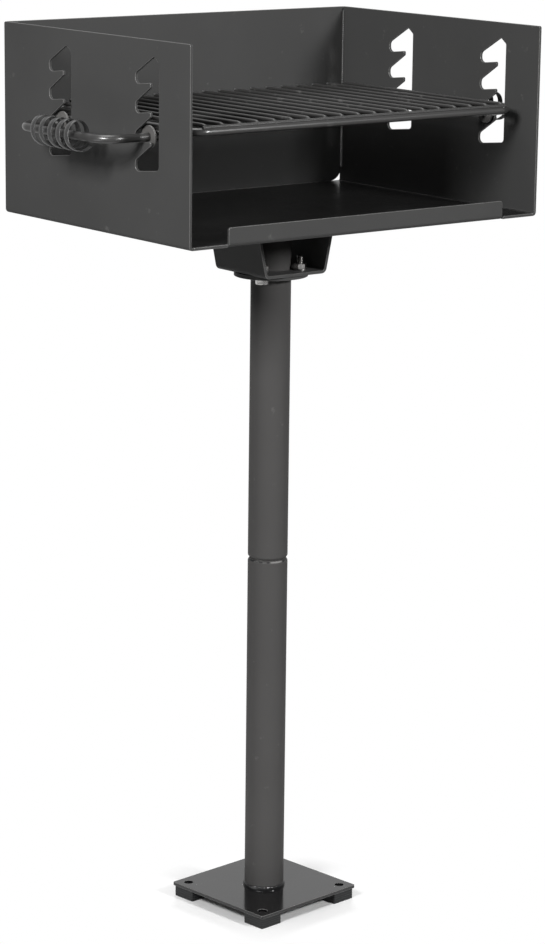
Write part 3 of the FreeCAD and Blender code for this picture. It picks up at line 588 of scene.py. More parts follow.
def softened_node(node, radius, materials):
    """A copy of a CAD node with its flat faces made whole and its edges rounded."""
    shape = bmesh.new()
    shape.from_mesh(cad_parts[node].data)
    bmesh.ops.remove_doubles(shape, verts=shape.verts, dist=2e-6)
    bmesh.ops.dissolve_limit(shape, angle_limit=math.radians(0.4), verts=shape.verts, edges=shape.edges)
    shape.verts.index_update()
    points = [vert.co.copy() for vert in shape.verts]
    faces = [[vert.index for vert in face.verts] for face in shape.faces]
    shape.free()
    return soften(new_piece(node + "_dressed", points, faces, materials), radius)


def skinned(name, sections, materials, closed=False):
    """A solid whose skin joins each section to the next, closed on itself or with flat ends."""
    size = len(sections[0])
    count = len(sections)
    faces = []
    for i in range(count if closed else count - 1):
        here, beyond = i * size, (i + 1) % count * size
        for k in range(size):
            after = (k + 1) % size
            faces.append([here + k, beyond + k, beyond + after, here + after])
    if not closed:
        faces.append(list(range(size)))
        faces.append(list(range((count - 1) * size, count * size))[::-1])
    piece = new_piece(name, [point for section in sections for point in section], faces, materials)
    shape = bmesh.new()
    shape.from_mesh(piece.data)
    bmesh.ops.recalc_face_normals(shape, faces=shape.faces)
    shape.to_mesh(piece.data)
    shape.free()
    return piece


def round_point(radius, turn, up):
    """A point by its distance from the post's axis, its turn round it and its height."""
    return Vector((radius * math.cos(turn), radius * math.sin(turn), up))


def turned(name, profile, materials, steps=96):
    """A ring of revolution about the post's axis: profile is its closed section, radius and height."""
    sections = [[round_point(radius, math.tau * i / steps, up) for radius, up in profile]
                for i in range(steps)]
    return skinned(name, sections, materials, closed=True)


# Stations of a weld bead in the length of one ripple.
STATIONS = 6


def weld_bead(name, stations, leg_out, leg_up, materials, closed=False):
    """A rippled fillet weld. A station is its root, the way out, the way up and the distance run."""
    sizes = bpy.context.scene.grill_sheet
    across = 7
    # How far a ripple's crown trails its edges, in ripples, and the face's reach as a share of the leg.
    lag = 0.9
    fullness = 0.86
    sections = []
    for root, out, up, run in stations:
        section = [root]
        for k in range(across):
            turn = math.pi / 2 * k / (across - 1)
            crest = abs(math.sin(math.pi * (run / sizes.ripple_pitch + lag * math.sin(2 * turn))))
            swell = fullness + sizes.ripple_depth * (crest - 0.5) * math.sin(2 * turn)
            outwards = leg_out * swell * math.cos(turn)
            upwards = leg_up * swell * math.sin(turn)
            section.append(root + out * outwards + up * upwards)
        sections.append(section)
    piece = skinned(name, sections, materials, closed)
    piece.data.set_sharp_from_angle(angle=math.radians(50))
    return piece


def round_stations(radius, height, up_sign):
    """Stations of a weld that goes round the post."""
    around = math.tau * radius
    steps = int(around / bpy.context.scene.grill_sheet.ripple_pitch * STATIONS)
    up = Vector((0, 0, up_sign))
    stations = []
    for i in range(steps):
        out = round_point(1.0, math.tau * i / steps, 0.0)
        stations.append((out * radius + Vector((0, 0, height)), out, up, around * i / steps))
    return stations


def straight_stations(start, end, out, up):
    """Stations of a weld along a straight seam."""
    run = (end - start).length
    steps = int(run / bpy.context.scene.grill_sheet.ripple_pitch * STATIONS)
    return [(start.lerp(end, i / steps), out, up, run * i / steps) for i in range(steps + 1)]


def dress(piece, body, slot, *nodes):
    """Say which body a piece rides on and which CAD nodes it stands for; the slot is not used."""
    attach(piece, body)
    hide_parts(*nodes)


def dress_node(node, body, slot, radius, materials):
    """Put a CAD node's own shape in its place, with its edges rounded."""
    dress(softened_node(node, radius, materials), body, slot, node)


def dress_sheet(node, body, slot, coat):
    """Dress a sheet of metal, its rounded edges lighter with a painted highlight."""
    dress_node(node, body, slot, bpy.context.scene.grill_sheet.edge_round, [coat, edge_coat()])


# Geometry trees

def shape_tree(name, inputs):
    """A geometry tree that takes a shape and named sizes."""
    return named_tree(name, "GeometryNodeTree", [("Geometry", "Geometry", None)] + inputs + [
        ("Finish", "Material", None)], [("Geometry", "Geometry")])


def close_tree(tree, given, result, shape):
    """End a geometry tree: real copies, smooth faces and their finish."""
    real = add_node(tree, "GeometryNodeRealizeInstances", {0: shape}).outputs[0]
    smooth = add_node(tree, "GeometryNodeSetShadeSmooth", {"Geometry": real, "Shade Smooth": True}).outputs[0]
    finished = add_node(tree, "GeometryNodeSetMaterial", {"Geometry": smooth, "Material": given["Finish"]})
    feed(tree, result, {"Geometry": finished.outputs[0]})
    return tree


def swept(tree, path, section):
    """A closed section carried along a path, with its ends filled."""
    return add_node(tree, "GeometryNodeCurveToMesh", {
        "Curve": path, "Profile Curve": section, "Fill Caps": True}).outputs[0]


def copies(tree, points, shape, **placed):
    """A copy of the shape on each point, with the Rotation and Scale that are given."""
    return add_node(tree, "GeometryNodeInstanceOnPoints", {
        "Points": points, "Instance": shape, **placed}).outputs[0]


def moved(tree, shape, **by):
    """The shape moved and turned by the Translation and Rotation that are given."""
    return add_node(tree, "GeometryNodeTransform", {"Geometry": shape, **by}).outputs[0]


def reshaped(tree, shape, offset):
    """The shape with its points moved by an offset."""
    return add_node(tree, "GeometryNodeSetPosition", {"Geometry": shape, "Offset": offset}).outputs[0]


def drawn_value(tree, low, high, seed):
    """A random value between two, drawn for each point."""
    return add_node(tree, "FunctionNodeRandomValue", {2: low, 3: high, "Seed": seed},
                    data_type="FLOAT").outputs[1]


def rod_tree():
    """A round rod along the shape's edges, with its corners bent to a radius."""
    tree, given, result = shape_tree("bent_rod", [("Radius", "Float", 0.005), ("Bend", "Float", 0.02)])
    path = add_node(tree, "GeometryNodeMeshToCurve", {0: given["Geometry"]}).outputs[0]
    bent = add_node(tree, "GeometryNodeFilletCurve", {
        "Curve": path, "Radius": given["Bend"], "Count": 24, "Limit Radius": True}, mode="POLY").outputs[0]
    circle = add_node(tree, "GeometryNodeCurvePrimitiveCircle", {"Resolution": 28, "Radius": given["Radius"]})
    return close_tree(tree, given, result, swept(tree, bent, circle.outputs[0]))


def row_tree():
    """Copies of the shape in a row, each a step from the last."""
    tree, given, result = shape_tree("row", [("Count", "Int", 2), ("Step", "Vector", (0.03, 0, 0))])
    line = add_node(tree, "GeometryNodeMeshLine", {
        "Count": given["Count"], "Offset": given["Step"]}).outputs[0]
    return close_tree(tree, given, result, copies(tree, line, given["Geometry"]))


def spot_tree():
    """Weld spots scattered in size, one on each point of the shape."""
    tree, given, result = shape_tree("weld_spots", [
        ("Radius", "Float", 0.003), ("Flatness", "Float", 0.6), ("Seed", "Int", 3)])
    ball = add_node(tree, "GeometryNodeMeshUVSphere", {"Segments": 14, "Rings": 9, "Radius": given["Radius"]})
    place = add_node(tree, "GeometryNodeInputPosition").outputs[0]
    scale = calculate(tree, "DIVIDE", 0.8, given["Radius"])
    lumps = add_node(tree, "ShaderNodeTexNoise", {"Vector": place, "Scale": scale, "Detail": 1.0})
    shift = add_node(tree, "ShaderNodeVectorMath", {0: lumps.outputs["Color"], 1: (0.5, 0.5, 0.5)},
                     operation="SUBTRACT").outputs[0]
    half = calculate(tree, "MULTIPLY", given["Radius"], 0.5)
    reach = add_node(tree, "ShaderNodeVectorMath", {0: shift, "Scale": half}, operation="SCALE").outputs[0]
    uneven = reshaped(tree, ball.outputs[0], reach)
    wide = drawn_value(tree, 0.8, 1.15, given["Seed"])
    size = vector(tree, wide, wide, calculate(tree, "MULTIPLY", wide, given["Flatness"]))
    turn = drawn_value(tree, 0.0, math.tau, given["Seed"])
    spots = copies(tree, given["Geometry"], uneven, Rotation=vector(tree, z=turn), Scale=size)
    return close_tree(tree, given, result, spots)


def ring_tree():
    """Copies of the shape turned evenly about the post's axis."""
    tree, given, result = shape_tree("round_the_post", [("Count", "Int", 4), ("Turn", "Float", 0.0)])
    line = add_node(tree, "GeometryNodeMeshLine", {"Count": given["Count"], "Offset": (0, 0, 0)}).outputs[0]
    order = add_node(tree, "GeometryNodeInputIndex").outputs[0]
    step = calculate(tree, "DIVIDE", math.tau, given["Count"])
    turn = calculate(tree, "MULTIPLY_ADD", order, step, given["Turn"])
    ring = copies(tree, line, given["Geometry"], Rotation=vector(tree, z=turn))
    return close_tree(tree, given, result, ring)


def coil_tree():
    """A flat strip wound round the Y axis, its rear end turned in to the rod."""
    tree, given, result = shape_tree("wound_strip", [
        ("Ring", "Float", 0.021), ("Pitch", "Float", 0.02), ("Turns", "Float", 5.0), ("Width", "Float", 0.01),
        ("Thickness", "Float", 0.0015), ("Crown", "Float", 0.001), ("Rod", "Float", 0.006),
        ("Start", "Float", 0.0), ("Place", "Vector", (0, 0, 0))])
    wide, thick = given["Width"], given["Thickness"]
    height = calculate(tree, "MULTIPLY", given["Pitch"], given["Turns"])
    spiral = add_node(tree, "GeometryNodeCurveSpiral", {
        "Resolution": 64, "Rotations": given["Turns"], "Start Radius": given["Ring"],
        "End Radius": given["Ring"], "Height": height, "Reverse": True}).outputs[0]
    upright = add_node(tree, "GeometryNodeSetCurveNormal", {"Curve": spiral}, mode="Z_UP").outputs[0]

    section = add_node(tree, "GeometryNodeCurvePrimitiveQuadrilateral", {
        "Width": thick, "Height": wide}).outputs[0]
    rounding = calculate(tree, "MULTIPLY", thick, 0.15)
    soft = add_node(tree, "GeometryNodeFilletCurve", {"Curve": section, "Radius": rounding, "Count": 2},
                    mode="POLY").outputs[0]
    finer = add_node(tree, "GeometryNodeSubdivideCurve", {"Curve": soft, "Cuts": 4}).outputs[0]
    spot = parts(tree, add_node(tree, "GeometryNodeInputPosition").outputs[0])
    outer = calculate(tree, "GREATER_THAN", spot[0], 0.0)
    across = calculate(tree, "DIVIDE", calculate(tree, "MULTIPLY", spot[1], 2.0), wide)
    fall = calculate(tree, "MULTIPLY", calculate(tree, "MULTIPLY", across, across), given["Crown"])
    inward = calculate(tree, "MULTIPLY", calculate(tree, "MULTIPLY", fall, outer), -1.0)
    strip = swept(tree, upright, reshaped(tree, finer, vector(tree, inward)))

    outside = calculate(tree, "MULTIPLY_ADD", thick, 0.5, given["Ring"])
    reach = calculate(tree, "SUBTRACT", outside, given["Rod"])
    block = add_node(tree, "GeometryNodeMeshCube", {"Size": vector(tree, reach, thick, wide)}).outputs[0]
    tab_middle = calculate(tree, "MULTIPLY_ADD", reach, 0.5, given["Rod"])
    aside = calculate(tree, "MULTIPLY", thick, 0.5)
    tab = moved(tree, block, Translation=vector(tree, tab_middle, aside, height))

    both = add_node(tree, "GeometryNodeJoinGeometry")
    tree.links.new(tab, both.inputs[0])
    tree.links.new(strip, both.inputs[0])
    half = calculate(tree, "MULTIPLY", height, -0.5)
    centred = moved(tree, both.outputs[0], Translation=vector(tree, z=half))
    quarter = math.pi / 2
    turn = calculate(tree, "SUBTRACT", given["Start"], quarter)
    laid = moved(tree, centred, Translation=given["Place"], Rotation=vector(tree, -quarter, turn))
    return close_tree(tree, given, result, laid)


def grown(name, tree, points, values, edges=(), faces=(), sharp=45):
    """A plain mesh from a starting shape and a geometry tree with its named inputs."""
    piece = bare_piece(name, points, edges, faces)
    modifier = piece.modifiers.new("shape", "NODES")
    modifier.node_group = tree
    for item in tree.interface.items_tree:
        if item.in_out == "INPUT" and item.name in values:
            modifier[item.identifier] = values[item.name]
    settle(piece)
    piece.data.set_sharp_from_angle(angle=math.radians(sharp))
    return piece


def rod_piece(name, path, radius, bend, finish, closed=False):
    """A bent rod along a path of points."""
    count = len(path)
    edges = [(i, (i + 1) % count) for i in range(count if closed else count - 1)]
    return grown(name, shared("bent_rod", rod_tree), path, {"Radius": radius, "Bend": bend, "Finish": finish},
                 edges=edges)


def weld_spots(name, places, radius, flatness, seed):
    """A weld spot at each of the places."""
    return grown(name, shared("weld_spots", spot_tree), places, {
        "Radius": radius, "Flatness": flatness, "Seed": seed, "Finish": weld_coat()}, sharp=80)


# Fasteners

# Facets along each of a hexagon's six sides.
FACETS = 8


def band(lower, upper, count):
    """Faces between two rings of points, each ring given by its first point's number."""
    faces = []
    for i in range(count):
        ahead = (i + 1) % count
        faces.append([lower + i, lower + ahead, upper + ahead, upper + i])
    return faces


def hex_radius(turn, flats):
    """Distance from a hexagon's centre to its side in one direction."""
    sixth = math.pi / 3
    return flats / 2 / math.cos((turn + sixth / 2) % sixth - sixth / 2)


def hex_block(flats, low, high, bore=0, top_chamfered=True):
    """Points and faces of a head or nut, solid where bore is 0, its lower corners always turned off."""
    steps = 6 * FACETS
    turns = [math.tau * i / steps for i in range(steps)]
    # The corners are turned off at 30 degrees, from just inside the flats.
    slope = math.tan(math.radians(30))
    flat_ring = flats / 2 * 0.97
    rings = []
    for up, chamfered, inward in ((low, True, 1), (high, top_chamfered, -1)):
        corners, shoulder = [], []
        for turn in turns:
            radius = hex_radius(turn, flats)
            ring = min(radius, flat_ring) if chamfered else radius
            drop = (radius - ring) * slope
            corners.append(round_point(radius, turn, up + inward * drop))
            shoulder.append(round_point(ring, turn, up))
        rings.append((corners, shoulder))
    points = rings[0][1] + rings[0][0] + rings[1][0] + rings[1][1]
    for up in (high, low):
        points += [round_point(bore, turn, up) for turn in turns] if bore else [Vector((0, 0, up))]
    faces = []
    for lower, upper in [(0, 1), (1, 2), (2, 3)] + ([(3, 4), (4, 5), (5, 0)] if bore else []):
        faces += band(lower * steps, upper * steps, steps)
    if not bore:
        top = 4 * steps
        for i in range(steps):
            faces.append([3 * steps + i, 3 * steps + (i + 1) % steps, top])
            faces.append([i, top + 1, (i + 1) % steps])
    return points, faces


def threaded_rod(radius, low, high, thread_low, pitch, depth):
    """Points and faces of a bolt's shank: plain below thread_low, threaded above, with a coned end."""
    steps = 24
    turns = [math.tau * i / steps for i in range(steps)]
    # Six levels to each turn of the thread.
    levels = [low, thread_low]
    while levels[-1] < high - pitch * 0.75:
        levels.append(levels[-1] + pitch / 6)
    points = []
    for up in levels:
        for i, turn in enumerate(turns):
            phase = ((up - thread_low) / pitch - i / steps) % 1.0
            groove = depth * abs(2 * phase - 1) if up > thread_low else 0.0
            points.append(round_point(radius - groove, turn, up))
    points += [round_point(radius - depth * 1.3, turn, high) for turn in turns]
    faces = []
    for level in range(len(levels)):
        faces += band(level * steps, (level + 1) * steps, steps)
    faces.append(list(range(steps))[::-1])
    faces.append(list(range(len(levels) * steps, (len(levels) + 1) * steps)))
    return points, faces


def joined(*shapes):
    """Several sets of points and faces as one."""
    points, faces = [], []
    for more_points, more_faces in shapes:
        faces += [[index + len(points) for index in face] for face in more_faces]
        points += more_points
    return points, faces


def on_the_circle(shape, turn=0.0):
    """A shape modelled at the post's axis, moved out to the bolt circle and round the post."""
    points, faces = shape
    out = Matrix.Translation((bpy.context.scene.grill_fasteners.circle_radius, 0, 0))
    place = Matrix.Rotation(turn, 4, "Z") @ out
    return [place @ point for point in points], faces


def round_the_post(name, shape, count, node, finish):
    """A fastener's shape repeated round the post."""
    points, faces = shape
    turn = bpy.context.scene.grill_fasteners.turn
    piece = grown(name, shared("round_the_post", ring_tree), points,
                  {"Count": count, "Turn": turn, "Finish": finish}, faces=faces, sharp=28)
    dress(piece, "head", "zinc_fastener", node)


# Operators

class GRILL_OT_base(bpy.types.Operator):
    """Base plate with its anchor holes and the four feet"""

    bl_idname = "grill.base"
    bl_label = "Base plate and feet"

    def execute(self, context):
        dress_sheet("base_plate", "base", "coated_plate", plate_coat())
        for corner in CORNERS:
            dress_node("foot_" + corner, "base", "foot_block", context.scene.grill_sheet.block_round,
                       [foot_block()])
        return {"FINISHED"}


class GRILL_OT_post(bpy.types.Operator):
    """The two halves of the post, bevelled where they meet, and the spigot inside"""

    bl_idname = "grill.post"
    bl_label = "Post"

    wall: length("Wall", "Wall of the tubes", 0.0039)
    bevel_deep: length("Bevel depth", "Bevel at the joint, into the wall", 0.0026)
    bevel_high: length("Bevel height", "Bevel at the joint, along the post", 0.0036)
    gap: length("Gap", "Each tube's half of the gap at the joint", 0.0004)

    def execute(self, context):
        radius = half_size("lower_post").x
        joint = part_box("lower_post")[1].z
        bore = radius - self.wall
        # The bevel is the profile's third side, and its coat, with patches of painted highlight, the tube's
        # third material.
        bevel_side = 2
        worn = 2
        for node, body, far, near, away in (
                ("lower_post", "base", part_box("lower_post")[0].z, joint - self.gap, -1),
                ("upper_post", "head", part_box("upper_post")[1].z, joint + self.gap, 1)):
            profile = [(bore, far), (radius, far), (radius, near + away * self.bevel_high),
                       (radius - self.bevel_deep, near), (bore, near)]
            tube = turned(node + "_dressed", profile, [post_coat(), post_coat(), worn_coat()])
            if body == "base":
                for index in range(bevel_side, len(tube.data.polygons), len(profile)):
                    tube.data.polygons[index].material_index = worn
            dress(soften(tube, context.scene.grill_sheet.block_round), body, "coated_post", node)
        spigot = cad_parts["post_spigot"]
        spigot.data.materials.clear()
        spigot.data.materials.append(turned_steel())
        return {"FINISHED"}


class GRILL_OT_flange(bpy.types.Operator):
    """Round flange on the post and the saddle bracket over it"""

    bl_idname = "grill.flange"
    bl_label = "Flange and saddle"

    def execute(self, context):
        for node, slot in (("post_flange", "coated_plate"), ("saddle_bracket", "coated_bracket")):
            dress_sheet(node, "head", slot, bracket_coat())
        return {"FINISHED"}


class GRILL_OT_fasteners(bpy.types.Operator):
    """Plated bolts, washers and nuts round the flange"""

    bl_idname = "grill.fasteners"
    bl_label = "Fasteners"

    def execute(self, context):
        sizes = context.scene.grill_fasteners
        bottom, top = (corner.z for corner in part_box("flange_bolts"))
        nut_low, nut_high = (corner.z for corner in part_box("flange_nuts"))
        head = hex_block(sizes.flats, bottom, bottom + sizes.head_high, top_chamfered=False)
        shank = threaded_rod(sizes.bolt_radius, bottom + sizes.head_high, top, nut_low, sizes.thread_pitch,
                             sizes.thread_depth)
        nut = hex_block(sizes.flats, nut_low, nut_high, bore=sizes.bolt_radius)
        zinc = zinc_plating()
        next_place = math.pi / sizes.pairs
        pair = joined(on_the_circle(head), on_the_circle(shank), on_the_circle(shank, next_place))
        round_the_post("flange_bolts_dressed", pair, sizes.pairs, "flange_bolts", zinc)
        round_the_post("flange_nuts_dressed", on_the_circle(nut), 2 * sizes.pairs, "flange_nuts", zinc)
        dress_node("flange_washers", "head", "zinc_fastener", sizes.thread_depth / 2, [zinc])
        return {"FINISHED"}


class GRILL_OT_firebox(bpy.types.Operator):
    """Floor pan with its lip, back panel and the two slotted sides"""

    bl_idname = "grill.firebox"
    bl_label = "Firebox"

    def execute(self, context):
        for node in ("floor_pan", "back_panel", "left_side", "right_side"):
            dress_sheet(node, "head", "coated_firebox", firebox_coat())
        return {"FINISHED"}


class GRILL_OT_welds(bpy.types.Operator):
    """Weld beads of the base, flange, saddle and firebox corners"""

    bl_idname = "grill.welds"
    bl_label = "Welds"

    def execute(self, context):
        finish = [weld_coat()]
        radius = half_size("lower_post").x
        for node, body, up_sign, coat in (("base_weld", "base", 1, plate_coat()),
                                          ("flange_weld", "head", -1, weld_coat())):
            low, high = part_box(node)
            root = low.z if up_sign > 0 else high.z
            leg = half_size(node).x - radius
            run = round_stations(radius, root, up_sign)
            bead = weld_bead(node + "_dressed", run, leg, high.z - low.z, [coat], closed=True)
            dress(bead, body, "coated_weld", node)

        up = Vector((0, 0, 1))
        splay = context.scene.grill_sheet.saddle_splay
        for side, sign in SIDES:
            out = Vector((sign, 0, 0))
            node = "saddle_weld_" + side
            low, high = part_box(node)
            leg = (high.z - low.z) / math.cos(splay)
            root_x = (high.x if sign > 0 else low.x) - sign * leg
            slant = Vector((-sign * math.sin(splay), 0, -math.cos(splay)))
            front, rear = Vector((root_x, low.y, high.z)), Vector((root_x, high.y, high.z))
            run = straight_stations(front, rear, out, slant)
            dress(weld_bead(node + "_dressed", run, leg, leg, finish), "head", "coated_weld", node)

            node = "corner_weld_" + side
            low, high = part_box(node)
            leg = high.x - low.x
            corner = Vector((high.x if sign > 0 else low.x, high.y, low.z))
            run = straight_stations(corner, corner + up * (high.z - low.z), -out, Vector((0, -1, 0)))
            dress(weld_bead(node + "_dressed", run, leg, leg, finish), "head", "coated_weld", node)
        return {"FINISHED"}


class GRILL_OT_grate(bpy.types.Operator):
    """Grate frame, cooking bars and the weld spot at each bar's end"""

    bl_idname = "grill.grate"
    bl_label = "Grate"

    def execute(self, context):
        sizes = context.scene.grill_rods
        low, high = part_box("grate_frame")
        rod = (high.z - low.z) / 2
        level = (high.z + low.z) / 2
        corners = [(x, y, level) for x, y in ((low.x + rod, low.y + rod), (high.x - rod, low.y + rod),
                                              (high.x - rod, high.y - rod), (low.x + rod, high.y - rod))]
        rim = rod_piece("grate_frame_dressed", corners, rod, sizes.frame_bend, handle_coat(), closed=True)
        dress(rim, "grate", "grate_rod", "grate_frame")

        first, second = middle(BARS[0]), middle(BARS[1])
        bar = half_size(BARS[0]).z
        reach = half_size(BARS[0]).y - sizes.bar_short
        slope = reach - sizes.bar_slope
        down = -sizes.bar_sink
        bends = ((-reach, down), (-slope, 0), (slope, 0), (reach, down))
        path = [first + Vector((0, along, up)) for along, up in bends]
        one = rod_piece("one_bar", path, bar, sizes.bar_bend, rod_coat())
        soften(one, bar * 0.75, turn=60, steps=5)
        points = [vert.co.copy() for vert in one.data.vertices]
        faces = [list(face.vertices) for face in one.data.polygons]
        bpy.data.objects.remove(one)
        bars = grown("cooking_bars", shared("row", row_tree), points,
                     {"Count": len(BARS), "Step": second - first, "Finish": rod_coat()}, faces=faces)
        dress(bars, "grate", "grate_rod", *BARS)

        # The weld line lies on top of the frame's front rod, in front of the bars' ends.
        bead = sizes.bead_radius
        ends = (first.x - 2 * bar, middle(BARS[-1]).x + 2 * bar)
        line = [Vector((x, low.y + rod * 0.95, level + rod + bead * 0.3)) for x in ends]
        ledge = rod_piece("front_weld_line", line, bead, 0.0, handle_coat())
        soften(ledge, bead * 0.8, turn=60, steps=4)
        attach(ledge, "grate")

        # A weld spot at the front end of each bar, on the frame, and one at its rear end.
        spots = []
        for node in BARS:
            centre = middle(node)
            spots.append((centre.x, centre.y - reach - bar * 0.2, level + rod * 0.8))
            spots.append((centre.x, centre.y + reach, centre.z + bar * 0.3))
        welds = weld_spots("bar_weld_spots", spots, sizes.bar_weld, flatness=0.62, seed=11)
        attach(welds, "grate")
        return {"FINISHED"}


class GRILL_OT_handles(bpy.types.Operator):
    """Handle rods, keeper discs and the welds between the legs and the grate frame"""

    bl_idname = "grill.handles"
    bl_label = "Handles"

    def execute(self, context):
        sizes = context.scene.grill_rods
        spots = []
        frame_low, frame_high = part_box("grate_frame")
        for side, sign in SIDES:
            node = "handle_" + side
            low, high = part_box(node)
            rod = (high.z - low.z) / 2
            level = (high.z + low.z) / 2
            outer = high.x - rod if sign > 0 else low.x + rod
            inner = low.x if sign > 0 else high.x
            path = [(inner, low.y + rod, level), (outer, low.y + rod, level), (outer, high.y - rod, level),
                    (inner, high.y - rod, level)]
            handle = rod_piece(node + "_dressed", path, rod, sizes.handle_bend, handle_coat())
            dress(soften(handle, rod * 0.2, turn=60), "grate", "handle_rod", node)
            crossing = (frame_high.x if sign > 0 else frame_low.x) - sign * half_size("grate_frame").z
            spots += [(crossing, low.y + rod, high.z), (crossing, high.y - rod, high.z)]
            for leg in LEGS:
                dress_sheet("keeper_%s_%s" % (side, leg), "grate", "handle_rod", keeper_coat())
        welds = weld_spots("leg_welds_dressed", spots, sizes.leg_weld, flatness=0.4, seed=5)
        dress(welds, "grate", "coated_weld", "leg_welds")
        return {"FINISHED"}


class GRILL_OT_coils(bpy.types.Operator):
    """The coil grip on each handle, a flat strip wound round the rod"""

    bl_idname = "grill.coils"
    bl_label = "Coil grips"

    def execute(self, context):
        sizes = context.scene.grill_coils
        rod = half_size("handle_left").z
        tree = shared("wound_strip", coil_tree)
        for side, _ in SIDES:
            node = "coil_grip_" + side
            ring = half_size(node).x - sizes.strip_thick / 2
            grip = grown(node + "_dressed", tree, [(0, 0, 0)], {
                "Ring": ring, "Pitch": sizes.pitch, "Turns": float(sizes.turns), "Width": sizes.strip_width,
                "Thickness": sizes.strip_thick, "Crown": sizes.strip_crown, "Rod": rod,
                "Start": sizes.start, "Place": middle(node), "Finish": coil_coat()}, sharp=50)
            dress(grip, "grate", "coil_grip", node)
        return {"FINISHED"}


class GRILL_OT_studio(bpy.types.Operator):
    """Pale floor, white surroundings, soft lamps and the camera"""

    bl_idname = "grill.studio"
    bl_label = "Studio"

    def execute(self, context):
        settings = context.scene.grill_studio
        add_floor(settings)
        add_surroundings(settings)
        add_lamps()
        add_camera(settings)
        context.scene.view_settings.view_transform = "Standard"
        return {"FINISHED"}


# Studio

def either(tree, first, second):
    """The larger of two values."""
    return calculate(tree, "MAXIMUM", first, second)


def mixed_shader(tree, factor, first, second):
    """Two shaders mixed by a factor."""
    return add_node(tree, "ShaderNodeMixShader", {0: factor, 1: first, 2: second}).outputs[0]


def add_floor(settings):
    """A pale floor that keeps the shadow near the base and turns plain white further out."""
    material, tree, shader = new_finish("pale_floor")
    feed(tree, shader, {"Base Color": (0.88, 0.88, 0.88, 1), "Roughness": 0.9, "Specular IOR Level": 0.0})
    away = add_node(tree, "ShaderNodeVectorMath", {0: own_place(tree)}, operation="LENGTH").outputs["Value"]
    fade = remap(tree, away, settings.shadow_reach, settings.shadow_end)
    path = add_node(tree, "ShaderNodeLightPath").outputs
    bent = either(tree, path["Is Glossy Ray"], path["Is Transmission Ray"])
    seen = either(tree, path["Is Camera Ray"], bent)
    white = add_node(tree, "ShaderNodeEmission", {"Color": (1, 1, 1, 1), "Strength": 1.0}).outputs[0]
    surface = mixed_shader(tree, calculate(tree, "MULTIPLY", fade, seen), shader.outputs[0], white)
    feed(tree, tree.nodes["Material Output"], {"Surface": surface})
    reach = 0.6
    corners = [(-reach, -reach, 0), (reach, -reach, 0), (reach, reach, 0), (-reach, reach, 0)]
    floor = new_piece("floor", corners, [[0, 1, 2, 3]], [material])


def add_surroundings(settings):
    """White all round, darker behind the camera in reflections, and plain room light on the object."""
    world = bpy.data.worlds.new("white_room")
    bpy.context.scene.world = world
    world.use_nodes = True
    tree = world.node_tree
    tree.nodes.clear()
    path = add_node(tree, "ShaderNodeLightPath").outputs
    way = add_node(tree, "ShaderNodeTexCoord").outputs["Generated"]
    behind = Vector(settings.viewpoint).normalized()
    facing = add_node(tree, "ShaderNodeVectorMath", {0: way, 1: (behind.x, behind.y, 0.0)},
                      operation="DOT_PRODUCT").outputs["Value"]
    # Full white straight ahead of the camera, darker to the sides and behind it.
    level = remap(tree, facing, -0.95, -0.35, 1.0, settings.dark_side)
    mirrored, room, plain = (
        add_node(tree, "ShaderNodeBackground", {"Color": (1, 1, 1, 1), "Strength": strength}).outputs[0]
        for strength in (level, settings.room_light, 1.0))
    bent = either(tree, path["Is Glossy Ray"], path["Is Transmission Ray"])
    seen = mixed_shader(tree, path["Is Camera Ray"], mixed_shader(tree, bent, room, mirrored), plain)
    add_node(tree, "ShaderNodeOutputWorld", {"Surface": seen})


def add_lamp(name, place, target, size, power):
    """A soft rectangular lamp aimed at a point."""
    data = bpy.data.lights.new(name, "AREA")
    data.shape = "RECTANGLE"
    data.size, data.size_y = size
    data.energy = power
    lamp = new_object(name, data)
    lamp.location = place
    lamp.rotation_euler = (Vector(target) - Vector(place)).to_track_quat("-Z", "Y").to_euler()
    return lamp


def add_lamps():
    """Strong lamps to the left, in front and behind, and weak ones above and low at the front and left."""
    box = (0.0, 0.0, 1.15)
    add_lamp("left_lamp", (-2.69, -1.15, 2.51), (-0.3, 0.0, 1.2), (0.8, 0.8), 110.0)
    add_lamp("front_lamp", (0.75, -3.0, 1.97), box, (0.42, 0.42), 92.0)
    add_lamp("overhead_lamp", (-0.2, 0.35, 3.2), box, (2.0, 1.0), 22.0)
    add_lamp("low_front_lamp", (-1.3, -2.3, 0.25), (0.0, 0.0, 0.9), (2.2, 0.7), 1.5)
    add_lamp("low_left_lamp", (-1.9, 0.0, 0.3), (0.0, 0.0, 0.9), (1.2, 0.6), 5.0)
    rear_lamp = add_lamp("rear_lamp", (2.2, 2.7, 1.5), box, (1.4, 0.5), 95.0)
    rear_lamp.visible_glossy = False


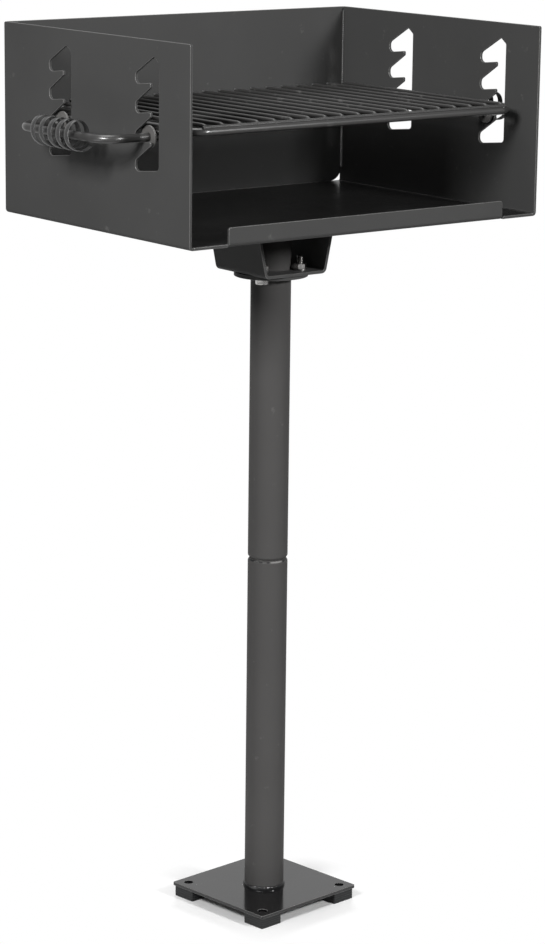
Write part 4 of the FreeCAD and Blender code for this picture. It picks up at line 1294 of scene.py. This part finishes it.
def add_camera(settings):
    """The camera, standing where the photograph was taken from."""
    data = bpy.data.cameras.new("camera")
    data.sensor_fit = "VERTICAL"
    data.sensor_height = 36.0
    data.lens = settings.focal_length
    camera = new_object("camera", data)
    heading, tilt, roll = settings.heading, settings.tilt, settings.roll
    ahead = Vector((math.sin(heading) * math.cos(tilt), math.cos(heading) * math.cos(tilt), -math.sin(tilt)))
    right = Vector((math.cos(heading), -math.sin(heading), 0))
    up = right.cross(ahead)
    across = right * math.cos(roll) + up * math.sin(roll)
    upward = up * math.cos(roll) - right * math.sin(roll)
    turn = Matrix((across, upward, -ahead)).transposed()
    camera.matrix_world = Matrix.Translation(settings.viewpoint) @ turn.to_4x4()
    bpy.context.scene.camera = camera


GROUPS = (
    ("grill_sheet", GrillSheetSizes), ("grill_rods", GrillRodSizes), ("grill_coils", GrillCoilSizes),
    ("grill_fasteners", GrillFastenerSizes), ("grill_colours", GrillFinishColours),
    ("grill_studio", GrillStudioSettings))
OPERATORS = (
    GRILL_OT_base, GRILL_OT_post, GRILL_OT_flange, GRILL_OT_fasteners, GRILL_OT_firebox, GRILL_OT_welds,
    GRILL_OT_grate, GRILL_OT_handles, GRILL_OT_coils, GRILL_OT_studio)


class GRILL_PT_panel(bpy.types.Panel):
    """Lists the grill's sizes, finishes and building steps"""

    bl_idname = "GRILL_PT_panel"
    bl_label = "Park Grill"
    bl_space_type = "VIEW_3D"
    bl_region_type = "UI"
    bl_category = "Park Grill"

    def draw(self, context):
        for name, group in GROUPS:
            box = self.layout.box()
            box.label(text=group.__doc__)
            for key in group.__annotations__:
                box.prop(getattr(context.scene, name), key)
        column = self.layout.column()
        for operator in OPERATORS:
            column.operator(operator.bl_idname)


def register():
    """Add the settings, the operators and the panel."""
    for name, group in GROUPS:
        bpy.utils.register_class(group)
        setattr(bpy.types.Scene, name, PointerProperty(type=group))
    for operator in OPERATORS:
        bpy.utils.register_class(operator)
    bpy.utils.register_class(GRILL_PT_panel)


def unregister():
    """Take them away again."""
    bpy.utils.unregister_class(GRILL_PT_panel)
    for operator in reversed(OPERATORS):
        bpy.utils.unregister_class(operator)
    for name, group in reversed(GROUPS):
        delattr(bpy.types.Scene, name)
        bpy.utils.unregister_class(group)


def main():
    """Build every piece and the studio."""
    register()
    bpy.ops.grill.base()
    bpy.ops.grill.post()
    bpy.ops.grill.flange()
    bpy.ops.grill.fasteners()
    bpy.ops.grill.firebox()
    bpy.ops.grill.welds()
    bpy.ops.grill.grate()
    bpy.ops.grill.handles()
    bpy.ops.grill.coils()
    bpy.ops.grill.studio()


if __name__ == "__main__":
    main()
